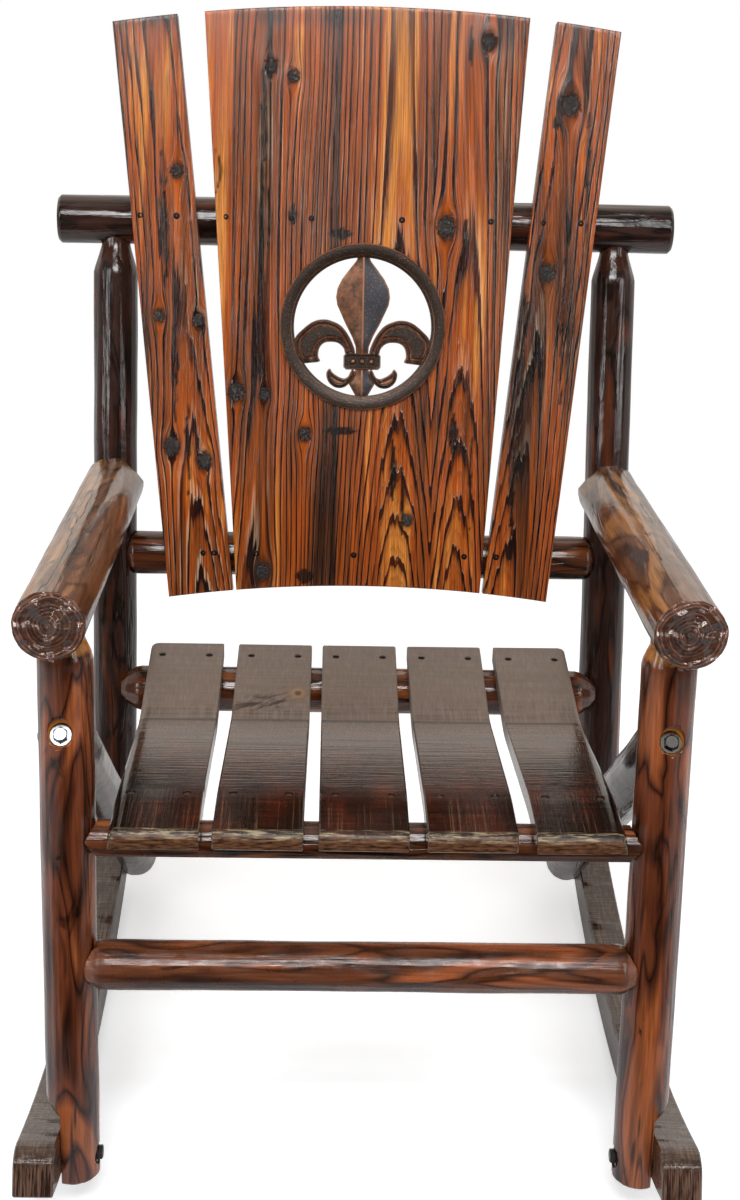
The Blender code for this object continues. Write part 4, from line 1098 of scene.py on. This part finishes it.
def glued_strips(add, waver, height, tone, strong):
    """Tone and strength of the rings where the centre board's glued strips change the wood."""
    span = 0.4
    chart = add("MapRange", {0: waver, 1: -span / 2 - 0.0015, 2: span / 2 - 0.0015})
    strips = add("ValToRGB", {0: chart}, stops=[((x + span / 2) / span, dark) for x, dark in STRIPS])
    upper = add("MapRange", {0: height, 1: 0.62, 2: 0.84, 3: 0.18, 4: 0.95})
    change = add("Math", {0: strips, 1: 0.45}, operation="SUBTRACT")
    # The edge strip is plain wood, with hardly any rings
    plain = add("MapRange", {0: waver, 1: -0.1480, 2: -0.1465, 3: 0.16, 4: 1.0})
    strong = add("Math", {0: strong, 1: plain}, operation="MULTIPLY")
    return summed(add, tone, (change, upper)), strong


def board_material(name, wood, glued):
    """Torched, brushed and varnished fir: dark raised rings over orange soft grain."""
    add = new_material(name)
    grain = add("Attribute", out="Vector", attribute_name="grain")
    ring, tone, burn, knot = (
        add("Attribute", out="Fac", attribute_name=word) for word in ("ring", "tone", "burn", "knot")
    )
    # The rings wander by up to 1 mm
    wander = stretched(add, grain, (160, 160, 3), Detail=3.0)
    phase = summed(add, ring, (wander, 0.9))
    part = add("Math", {0: phase}, operation="FRACT")
    late = add(
        "ValToRGB", {0: part},
        stops=[(0.0, 0.0), (0.56, 0.05), (0.70, 0.40), (0.80, 1.0), (0.95, 1.0), (0.985, 0.0)],
    )
    # Thinner rings between them
    thirds = add("Math", {0: phase, 1: 2.73}, operation="MULTIPLY")
    thirds = add("Math", {0: thirds}, operation="FRACT")
    thin_late = add("ValToRGB", {0: thirds}, stops=[(0.0, 0.0), (0.6, 0.1), (0.85, 0.6), (1.0, 0.0)])
    # Some rings are strong and some faint
    weight = stretched(add, grain, (90, 90, 3), Detail=2.0)
    strong = add("MapRange", {0: weight, 1: 0.35, 2: 0.62, 3: 0.55, 4: 1.0})
    # Fibres drawn at 1 mm to show
    fibre = stretched(add, grain, (600, 600, 9), Detail=4.0, Roughness=0.7)
    place = add("TexCoord", out="Object")
    across = add("SeparateXYZ", {0: place})
    height = across.node.outputs["Z"]
    if glued:
        waver = summed(add, across, (wander, 0.003))
        tone, strong = glued_strips(add, waver, height, tone, strong)
    pale = add(
        "ValToRGB", {0: tone},
        stops=[
            (0.02, "CC8038"), (0.28, wood.early), (0.55, "86441C"),
            (0.80, wood.aged), (0.98, "29160D"),
        ],
    )
    dark = add(
        "ValToRGB", {0: tone},
        stops=[(0.05, "441A09"), (0.30, wood.late), (0.75, "120805")],
    )
    strong = add("Math", {0: strong, 1: 1.25}, operation="MULTIPLY")
    lines = summed(add, late, (thin_late, 0.45))
    lines = add("Math", {0: lines, 1: strong}, operation="MULTIPLY", use_clamp=True)
    body = add("Mix", {0: lines, 6: pale, 7: dark}, **MIXED)
    thread = add("MapRange", {0: fibre, 1: 0.34, 2: 0.66, 3: 0.42, 4: 1.50})
    body = add("Mix", {0: 1.0, 6: body, 7: thread}, **TINTED)
    # Painted highlight: pale crests beside the rings stand for glints on the raised grain, in parts of
    # the upper back and all over its lower left
    glint_zone = stretched(add, grain, (16, 16, 5), (3, 1, 2), Detail=2.0)
    glint_zone = add("MapRange", {0: glint_zone, 1: 0.46, 2: 0.60, 3: 0.0, 4: 0.38})
    high = add("MapRange", {0: height, 1: 0.62, 2: 0.80, 3: 0.2, 4: 1.0})
    glint_zone = add("Math", {0: glint_zone, 1: high}, operation="MULTIPLY")
    foot = add("MapRange", {0: height, 1: 0.74, 2: 0.56, 3: 0.0, 4: 0.7})
    left = add("MapRange", {0: across, 1: -0.08, 2: -0.16})
    foot = add("Math", {0: foot, 1: left}, operation="MULTIPLY")
    glint_zone = add("Math", {0: glint_zone, 1: foot}, operation="MAXIMUM")
    crest = add(
        "ValToRGB", {0: part}, stops=[(0.0, 1.0), (0.10, 0.9), (0.18, 0.0), (0.93, 0.0), (0.97, 1.0)]
    )
    broken = add("MapRange", {0: fibre, 1: 0.42, 2: 0.58})
    for share in (glint_zone, strong, broken):
        crest = add("Math", {0: crest, 1: share}, operation="MULTIPLY")
    # Painted highlight: the crests' pale colour
    body = add("Mix", {0: crest, 6: body, 7: "CDB092"}, **MIXED)
    # Burnt flames, ragged along the fibres
    burnt = add("MapRange", {0: summed(add, burn, (fibre, 0.4)), 1: 0.35, 2: 1.05, 3: 0.0, 4: 0.95})
    body = add("Mix", {0: burnt, 6: body, 7: wood.char}, **MIXED)
    # Knots: a cracked black core with a ragged rim
    crack = add(
        "TexNoise",
        {"Vector": place, "Scale": 260.0, "Detail": 3.0, "Roughness": 0.75, "Distortion": 0.5},
    )
    core_share = add("MapRange", {0: summed(add, knot, (crack, 1.3)), 1: 1.05, 2: 1.25})
    halo = add("MapRange", {0: knot, 1: 0.08, 2: 0.5, 3: 1.0, 4: 0.45})
    body = add("Mix", {0: 1.0, 6: body, 7: halo}, **TINTED)
    core = add(
        "ValToRGB", {0: crack},
        stops=[(0.40, "050302"), (0.56, "1A0F0A"), (0.70, "5A4232")],
    )
    colour = add("Mix", {0: core_share, 6: body, 7: core}, **MIXED)
    rough_knot = add("Math", {0: crack, 1: core_share}, operation="MULTIPLY")
    relief = summed(add, lines, (fibre, 0.8), (rough_knot, 4.0))
    gloss = add("MapRange", {0: weight, 1: 0.3, 2: 0.7, 3: 0.10, 4: 0.20})
    gloss = summed(add, gloss, (core_share, 0.12))
    coat(add, colour, gloss, relief, 1.0, 0.7 * MM, VARNISH)


def slat_knot(add, grain, patch, colour):
    """A knot on the right of the second slat, with dark grain drawn out to its left."""
    middle = (SLAT_KNOT[0] - 0.032, SLAT_KNOT[1] - 0.016, 0)
    drawn = add(
        "Mapping",
        {
            "Vector": grain, "Location": middle, "Rotation": (0, 0, math.radians(28)),
            "Scale": (0.056, 0.021, 10),
        },
        vector_type="TEXTURE",
    )
    reach = add("VectorMath", {0: drawn}, out="Value", operation="LENGTH")
    reach = add("MapRange", {0: reach, 1: 1.1, 2: 0.5, 3: 0.0, 4: 0.85})
    threads = add("TexNoise", {"Vector": drawn, "Scale": 2.7, "Detail": 4.0, "Distortion": 0.8})
    threads = add("MapRange", {0: threads, 1: 0.44, 2: 0.58})
    threads = add("Math", {0: threads, 1: reach}, operation="MULTIPLY")
    colour = add("Mix", {0: threads, 6: colour, 7: "2E201A"}, **MIXED)
    eye = add(
        "Mapping", {"Vector": grain, "Location": (*SLAT_KNOT, 0), "Scale": (0.017, 0.020, 10)},
        vector_type="TEXTURE",
    )
    eye = add("VectorMath", {0: eye}, out="Value", operation="LENGTH")
    eye = summed(add, eye, (patch, 0.8))
    rim = add(
        "ValToRGB", {0: eye},
        stops=[(0.50, "54402F"), (0.66, "94765A"), (0.95, "7A6452")],
    )
    eye = add("MapRange", {0: eye, 1: 1.4, 2: 0.9, 3: 0.0, 4: 0.8})
    return add("Mix", {0: eye, 6: colour, 7: rim}, **MIXED)


def slat_material(wood):
    """Sawn slat: dull varnish with a painted grey sheen at its rear, then saw marks under gloss, dark at
    its front.
    """
    add = new_material("slat_varnished")
    grain = add("Attribute", out="Vector", attribute_name="grain")
    # Grain lines 3 mm apart
    lines = stretched(add, grain, (420, 7, 420), Detail=4.0, Roughness=0.65, Distortion=0.2)
    # Marks of the saw 2 mm apart, drawn at 4 mm to show
    saw = stretched(add, grain, (9, 250, 60), Detail=3.0, Roughness=0.6)
    patch = stretched(add, grain, (30, 12, 30), Detail=3.0)
    place = add("SeparateXYZ", {0: grain})
    along = place.node.outputs["Y"]
    streaky = summed(add, along, (lines, 0.16), (saw, 0.10))
    dull = add("MapRange", {0: streaky, 1: -0.03, 2: 0.06})
    stained = add(
        "ValToRGB", {0: summed(add, 0.0, (patch, 0.6), (lines, 0.4))},
        stops=[(0.38, "0A0503"), (0.50, wood.slat), (0.62, "42190B")],
    )
    # Painted sheen: the rear is painted light grey-brown for the light that its dull varnish reflects
    grey = add(
        "ValToRGB", {0: lines},
        stops=[(0.30, "6E6158"), (0.50, wood.slat_rear_sheen), (0.70, "7D7066")],
    )
    # Between the two the stain is thin
    thin = add("MapRange", {0: streaky, 1: -0.17, 2: -0.05, 3: 0.0, 4: 0.55})
    stained = add("Mix", {0: thin, 6: stained, 7: "523826"}, **MIXED)
    colour = add("Mix", {0: dull, 6: stained, 7: grey}, **MIXED)
    # The stain took unevenly along the marks of the saw
    streaks = add("MapRange", {0: saw, 1: 0.38, 2: 0.62, 3: 0.40, 4: 1.35})
    even = add("MapRange", {0: dull, 3: 0.0, 4: 0.88})
    streaks = add("Mix", {0: even, 2: streaks, 3: 1.0})
    colour = add("Mix", {0: 1.0, 6: colour, 7: streaks}, **TINTED)
    colour = slat_knot(add, grain, patch, colour)
    # Painted glints: pale lines along the grain at its front, for light caught on the varnish
    painted_glint = add("MapRange", {0: lines, 1: 0.58, 2: 0.66})
    near = add("MapRange", {0: along, 1: -0.29, 2: -0.37, 3: 0.0, 4: 0.14})
    painted_glint = add("Math", {0: painted_glint, 1: near}, operation="MULTIPLY")
    colour = add("Mix", {0: painted_glint, 6: colour, 7: "A08A6C"}, **MIXED)
    # Painted shade: a dark line where the slat bends, across its whole width
    crease_shade = add("MapRange", {0: summed(add, along, (saw, 0.006)), 1: -0.100, 2: -0.084})
    crease_shade = add("ValToRGB", {0: crease_shade}, stops=[(0.22, 1.0), (0.38, 0.35), (0.62, 0.35), (0.78, 1.0)])
    colour = add("Mix", {0: 1.0, 6: colour, 7: crease_shade}, **TINTED)
    # The sawn front face, and a painted highlight: pale colour, broken, along its upper edge where light
    # glints
    face = add("MapRange", {0: along, 1: -0.3840, 2: -0.3862})
    end = stretched(add, grain, (90, 0, 420), Detail=4.0)
    sawn = add("ValToRGB", {0: end}, stops=[(0.35, "2E1C10"), (0.65, "74503A")])
    colour = add("Mix", {0: face, 6: colour, 7: sawn}, **MIXED)
    lip = add("MapRange", {0: along, 1: -0.3765, 2: -0.3795})
    high = add("MapRange", {0: place.node.outputs["Z"], 1: 0.4345, 2: 0.4355})
    edge_wear_and_highlight = add("Math", {0: lip, 1: high}, operation="MULTIPLY")
    broken = stretched(add, grain, (45, 330, 330), Detail=5.0, Roughness=0.7)
    broken = add("MapRange", {0: broken, 1: 0.50, 2: 0.62, 3: 0.0, 4: 0.60})
    lip = add("Math", {0: edge_wear_and_highlight, 1: broken}, operation="MULTIPLY")
    # Painted highlight: pale colour on the slat's upper front edge
    colour = add("Mix", {0: lip, 6: colour, 7: "B8A884"}, **MIXED)
    gloss = add("MapRange", {0: dull, 3: 0.11, 4: 0.5})
    gloss = summed(add, gloss, (edge_wear_and_highlight, 0.3))
    # The ridges are sharp where the varnish is thin, and filled where it is dull
    ridges = add("MapRange", {0: dull, 3: 1.1, 4: 0.35})
    ridges = add("Math", {0: saw, 1: ridges}, operation="MULTIPLY")
    relief = summed(add, ridges, (lines, 0.7))
    coat(add, colour, gloss, relief, 0.6, 0.4 * MM, {**VARNISH, "Specular IOR Level": 0.36})


def rocker_material(wood):
    """Sawn rocker: grain along it, saw marks across it, varnished dark."""
    add = new_material("rocker_varnished")
    grain = add("Attribute", out="Vector", attribute_name="grain")
    # Grain lines 3 mm apart
    lines = stretched(add, grain, (330, 9, 330), Detail=4.0, Roughness=0.6, Distortion=0.4)
    # Marks of the saw 2 mm apart
    saw = stretched(add, grain, (30, 480, 160), Detail=2.0)
    # Upright stripes on the sawn nose
    nose = stretched(add, grain, (520, 60, 20), Detail=3.0, Roughness=0.6)
    place = add("SeparateXYZ", {0: grain})
    front = add("MapRange", {0: place.node.outputs["Y"], 1: -0.4300, 2: -0.4330})
    saw = add("Mix", {0: front, 2: saw, 3: nose})
    lines = add("Mix", {0: front, 2: lines, 3: nose})
    colour = add(
        "ValToRGB", {0: summed(add, 0.0, (lines, 0.6), (saw, 0.4))},
        stops=[(0.36, "20140F"), (0.50, wood.rocker), (0.64, "64503F")],
    )
    striped = add(
        "ValToRGB", {0: nose},
        stops=[(0.40, "2A1A14"), (0.50, "523A2E"), (0.60, "70584A")],
    )
    colour = add("Mix", {0: front, 6: colour, 7: striped}, **MIXED)
    coat(add, colour, 0.18, summed(add, lines, (saw, 0.9)), 0.8, 0.6 * MM, VARNISH)


def bronze_material(metal):
    """Cast bronze under a near-black patina, rubbed to copper along its edges and in specks."""
    add = new_material("bronze_patinated")
    cast = add("Attribute", out="Vector", attribute_name="cast")
    edge, blade, chased = (
        add("Attribute", out="Fac", attribute_name=word) for word in ("edge", "blade", "chased")
    )
    across = add("SeparateXYZ", {0: cast})
    # Painted light: the blade's left facet is painted copper-brown and its right facet blue-grey, as
    # light falls on the two
    blue_lit_facet = add("MapRange", {0: across, 1: -0.4 * MM, 2: 0.4 * MM})
    blue_lit_facet = add("Math", {0: blue_lit_facet, 1: blade}, operation="MULTIPLY")
    warm_lit_facet = add("Math", {0: blade, 1: blue_lit_facet}, operation="SUBTRACT")
    skin = add("TexNoise", {"Vector": cast, "Scale": 110.0, "Detail": 5.0, "Roughness": 0.7})
    specks = add("TexNoise", {"Vector": cast, "Scale": 700.0, "Detail": 2.0})
    speck = add("MapRange", {0: specks, 1: 0.60, 2: 0.70, 3: 0.0, 4: 0.75})
    # Rubbed edges, 1 mm wide, broken by the skin
    reach = add("MapRange", {0: edge, 1: 0.0, 2: 8.0})
    crest = add(
        "ValToRGB", {0: reach},
        stops=[
            (0.0, 0.8), (0.15, 0.8), (0.21, 0.1), (0.26, 0.0), (0.56, 0.0), (0.62, 1.0), (0.80, 1.0),
            (0.88, 0.0),
        ],
    )
    worn = add("MapRange", {0: skin, 1: 0.36, 2: 0.52, 3: 0.3, 4: 1.0})
    crest = add("Math", {0: crest, 1: worn}, operation="MULTIPLY")
    # Painted light: copper spread over the lit left facet of the blade
    facet = add("MapRange", {0: skin, 1: 0.35, 2: 0.68, 3: 0.1, 4: 0.75})
    facet = add("Math", {0: facet, 1: warm_lit_facet}, operation="MULTIPLY")
    # The blade's ridge is a bright line
    ridge = add("Math", {0: across}, operation="ABSOLUTE")
    ridge = add("MapRange", {0: ridge, 1: 1.3 * MM, 2: 0.6 * MM})
    ridge = add("Math", {0: ridge, 1: blade}, operation="MULTIPLY")
    rub = speck
    for rubbed in (crest, ridge, facet):
        rub = add("Math", {0: rub, 1: rubbed}, operation="MAXIMUM")
    # Painted light: the blade's right facet is blue-grey
    patina = add("Mix", {0: blue_lit_facet, 6: metal.bronze, 7: "3C3E44"}, **MIXED)
    colour = add("Mix", {0: rub, 6: patina, 7: metal.copper}, **MIXED)
    # Chased lines that follow the curls' outlines, 2.6 mm apart
    lines = add("Math", {0: edge, 1: math.tau / 2.6}, operation="MULTIPLY")
    lines = add("Math", {0: lines}, operation="SINE")
    lines = add("Math", {0: lines, 1: chased}, operation="MULTIPLY")
    relief = summed(add, lines, (specks, 1.2))
    coat(add, colour, 0.36, relief, 0.6, 0.4 * MM, {"Metallic": 0.5})


def steel_material(name, colour, roughness, metallic):
    """Turned steel with a thin plating, slightly uneven."""
    add = new_material(name)
    place = add("TexCoord", out="Object")
    spots = add("TexNoise", {"Vector": place, "Scale": 700.0, "Detail": 3.0})
    uneven = add("MapRange", {0: spots, 1: 0.3, 2: 0.7, 3: 0.82, 4: 1.05})
    colour = add("Mix", {0: 1.0, 6: colour, 7: uneven}, **TINTED)
    coat(add, colour, roughness, spots, 0.15, 0.2 * MM, {"Metallic": metallic})


# Stage


def seen_by_camera(add):
    """1 for what the camera sees, straight or through glass, and 0 for every other ray."""
    path = add("LightPath", out="Is Camera Ray")
    through = path.node.outputs["Is Transmission Ray"]
    return add("Math", {0: path, 1: through}, operation="MAXIMUM")


def make_floor(colour):
    """A pale floor that shows white to the camera and keeps the chair's shadow."""
    size = 30.0
    corners = [(-size, -size, 0), (size, -size, 0), (size, size, 0), (-size, size, 0)]
    floor = mesh_object("floor", corners, [(0, 1, 2, 3)])
    add = new_material("floor_paper")
    seen = seen_by_camera(add)
    place = add("TexCoord", out="Object")
    away = add("VectorMath", {0: place}, out="Value", operation="LENGTH")
    across = add("SeparateXYZ", {0: place})
    # Paper under the chair and behind it, plain white beyond, a dark studio before it
    far = add("MapRange", {0: away, 1: 0.9, 2: 2.4}, **SMOOTH)
    before = add("MapRange", {0: across.node.outputs["Y"], 1: -0.35, 2: -0.80}, **SMOOTH)
    beside = add("Math", {0: across}, operation="ABSOLUTE")
    beside = add("MapRange", {0: beside, 1: 1.1, 2: 0.7, 3: 0.5, 4: 1.0}, **SMOOTH)
    before = add("Math", {0: before, 1: beside}, operation="MULTIPLY")
    gone = add("Math", {0: far, 1: seen}, operation="MULTIPLY")
    gone = add("Math", {0: gone, 1: before}, operation="MAXIMUM")
    tint = add("Mix", {0: gone, 6: colour, 7: (0, 0, 0, 1)}, **MIXED)
    paper = add("BsdfDiffuse", {"Color": tint})
    plain = add("Math", {0: far, 1: before}, operation="MAXIMUM")
    glow = add("MapRange", {0: plain, 3: FLOOR_GLOW, 4: 1.0})
    glow = add("Math", {0: glow, 1: seen}, operation="MULTIPLY")
    light = add("Emission", {"Color": (1, 1, 1, 1), "Strength": glow})
    add("OutputMaterial", {"Surface": add("AddShader", {0: paper, 1: light})})
    paint(floor.data, "floor_paper")


def make_lamp(name, spot, target, size, power):
    """A rectangular soft lamp that looks at its target."""
    lamp = bpy.data.lights.new(name, "AREA")
    lamp.shape = "RECTANGLE"
    lamp.size, lamp.size_y = size
    lamp.energy = power
    obj = scene_object(name, lamp)
    obj.location = spot
    obj.rotation_euler = (Vector(target) - Vector(spot)).to_track_quat("-Z", "Y").to_euler()


def make_world(strength):
    """A bright wall behind the chair and a dim room before it; white to the camera."""
    world = bpy.data.worlds.get("World") or bpy.data.worlds.new("World")
    bpy.context.scene.world = world
    world.use_nodes = True
    world.node_tree.nodes.clear()
    add = partial(add_node, world.node_tree)
    seen = seen_by_camera(add)
    way = add("TexCoord", out="Generated")
    ahead = add("SeparateXYZ", {0: way}, out="Y")
    behind = add("MapRange", {0: ahead, 1: -0.50, 2: 0.40, 3: ROOM_FRONT, 4: ROOM_BACK}, **SMOOTH)
    lit = add("Math", {0: behind, 1: strength}, operation="MULTIPLY")
    room = add("Background", {"Color": ROOM_TINT, "Strength": lit})
    white = add("Background", {"Color": (1, 1, 1, 1), "Strength": 1.0})
    add("OutputWorld", {"Surface": add("MixShader", {0: seen, 1: room, 2: white})})


def make_camera():
    """The photograph's view: pixel scale, principal point and a slight roll."""
    yaw, pitch, roll = (math.radians(a) for a in CAMERA_TURN)
    ahead = Vector((-math.sin(yaw) * math.cos(pitch), math.cos(yaw) * math.cos(pitch), -math.sin(pitch)))
    right = Vector((math.cos(yaw), math.sin(yaw), 0))
    up = right.cross(ahead)
    turned_right = right * math.cos(roll) + up * math.sin(roll)
    turned_up = up * math.cos(roll) - right * math.sin(roll)
    width, height = PHOTO_SIZE
    data = bpy.data.cameras.new("camera")
    data.sensor_fit = "HORIZONTAL"
    data.sensor_width = 36
    data.lens = FOCAL_PIXELS / width * data.sensor_width
    data.shift_x = (width / 2 - PHOTO_CENTRE[0]) / width
    data.shift_y = (PHOTO_CENTRE[1] - height / 2) / width
    camera = scene_object("camera", data)
    turn = Matrix((turned_right, turned_up, -ahead)).transposed()
    camera.matrix_world = Matrix.Translation(CAMERA_SPOT) @ turn.to_4x4()
    bpy.context.scene.camera = camera


# Operators


class CHAIR_OT_finishes(bpy.types.Operator):
    """Make the chair's materials"""

    bl_idname = "chair.finishes"
    bl_label = "Finishes"

    def execute(self, context):
        wood = context.scene.chair_wood
        metal = context.scene.chair_metal
        for finish in LOG_FINISHES:
            log_material(finish, wood)
        end_grain_material()
        board_material("board_varnished", wood, False)
        board_material("glued_board_varnished", wood, True)
        slat_material(wood)
        rocker_material(wood)
        bronze_material(metal)
        steel_material("steel_zinc_plated", metal.zinc, 0.28, 1.0)
        steel_material("steel_zinc_tarnished", "3A3836", 0.34, 1.0)
        steel_material("steel_varnished_over", "4A362A", 0.30, 0.2)
        steel_material("steel_black_oxide", metal.black, 0.42, 0.9)
        return {"FINISHED"}


class CHAIR_OT_logs(bpy.types.Operator):
    """Make the thirteen peeled logs of the side frames and the rails"""

    bl_idname = "chair.logs"
    bl_label = "Logs"

    def execute(self, context):
        logs = [(node, finish) for finish, *nodes in LOGS for node in nodes]
        for seed, (node, finish) in enumerate(logs, LOG_SEED):
            make_log(node, finish, seed, context.scene.chair_shape)
        return {"FINISHED"}


class CHAIR_OT_boards(bpy.types.Operator):
    """Make the three boards of the back"""

    bl_idname = "chair.boards"
    bl_label = "Back boards"

    def execute(self, context):
        for name in BOARDS:
            make_board(name, context.scene.chair_shape)
        return {"FINISHED"}


class CHAIR_OT_planks(bpy.types.Operator):
    """Make the seat slats and the rockers"""

    bl_idname = "chair.planks"
    bl_label = "Slats and rockers"

    def execute(self, context):
        for node, cells, finish, seed in PLANKS:
            make_plank(node, cells, finish, seed)
        return {"FINISHED"}


class CHAIR_OT_medallion(bpy.types.Operator):
    """Make the cast medallion of the back"""

    bl_idname = "chair.medallion"
    bl_label = "Medallion"

    def execute(self, context):
        make_medallion(context.scene.chair_metal)
        return {"FINISHED"}


class CHAIR_OT_hardware(bpy.types.Operator):
    """Finish the bolts and screws, and add the screws of the boards"""

    bl_idname = "chair.hardware"
    bl_label = "Bolts and screws"

    def execute(self, context):
        for name, node in NODES.items():
            steels = [steel for word, steel in HARDWARE.items() if word in name]
            if steels:
                paint(node.data, steels[0])
        make_board_screws(context.scene.chair_metal)
        return {"FINISHED"}


class CHAIR_OT_stage(bpy.types.Operator):
    """Set up the floor, the lamps and the camera"""

    bl_idname = "chair.stage"
    bl_label = "Stage"

    def execute(self, context):
        stage = context.scene.chair_stage
        make_floor(stage.floor)
        for name, facts in LAMPS.items():
            make_lamp(f"{name}_lamp", *facts, getattr(stage, name))
        make_world(stage.fill)
        make_camera()
        context.scene.view_settings.view_transform = "Standard"
        return {"FINISHED"}


class CHAIR_PT_panel(bpy.types.Panel):
    """Sizes, colours and steps of the chair"""

    bl_label = "Log rocking chair"
    bl_idname = "CHAIR_PT_panel"
    bl_space_type = "VIEW_3D"
    bl_region_type = "UI"
    bl_category = "Chair"

    def draw(self, context):
        for group in GROUPS:
            box = self.layout.box()
            settings = getattr(context.scene, group)
            for name in settings.bl_rna.properties.keys():
                if name not in ("rna_type", "name"):
                    box.prop(settings, name)
        for step in STEPS:
            self.layout.operator(step.bl_idname)


GROUPS = {
    "chair_wood": ChairWood,
    "chair_shape": ChairShape,
    "chair_metal": ChairMetal,
    "chair_stage": ChairStage,
}
STEPS = (
    CHAIR_OT_finishes,
    CHAIR_OT_logs,
    CHAIR_OT_boards,
    CHAIR_OT_planks,
    CHAIR_OT_medallion,
    CHAIR_OT_hardware,
    CHAIR_OT_stage,
)
CLASSES = (*GROUPS.values(), *STEPS, CHAIR_PT_panel)


def register():
    for kind in CLASSES:
        bpy.utils.register_class(kind)
    for name, kind in GROUPS.items():
        setattr(bpy.types.Scene, name, PointerProperty(type=kind))


def unregister():
    for name in GROUPS:
        delattr(bpy.types.Scene, name)
    for kind in reversed(CLASSES):
        bpy.utils.unregister_class(kind)


def main():
    register()
    bpy.ops.chair.finishes()
    bpy.ops.chair.logs()
    bpy.ops.chair.boards()
    bpy.ops.chair.planks()
    bpy.ops.chair.medallion()
    bpy.ops.chair.hardware()
    bpy.ops.chair.stage()


if __name__ == "__main__":
    main()
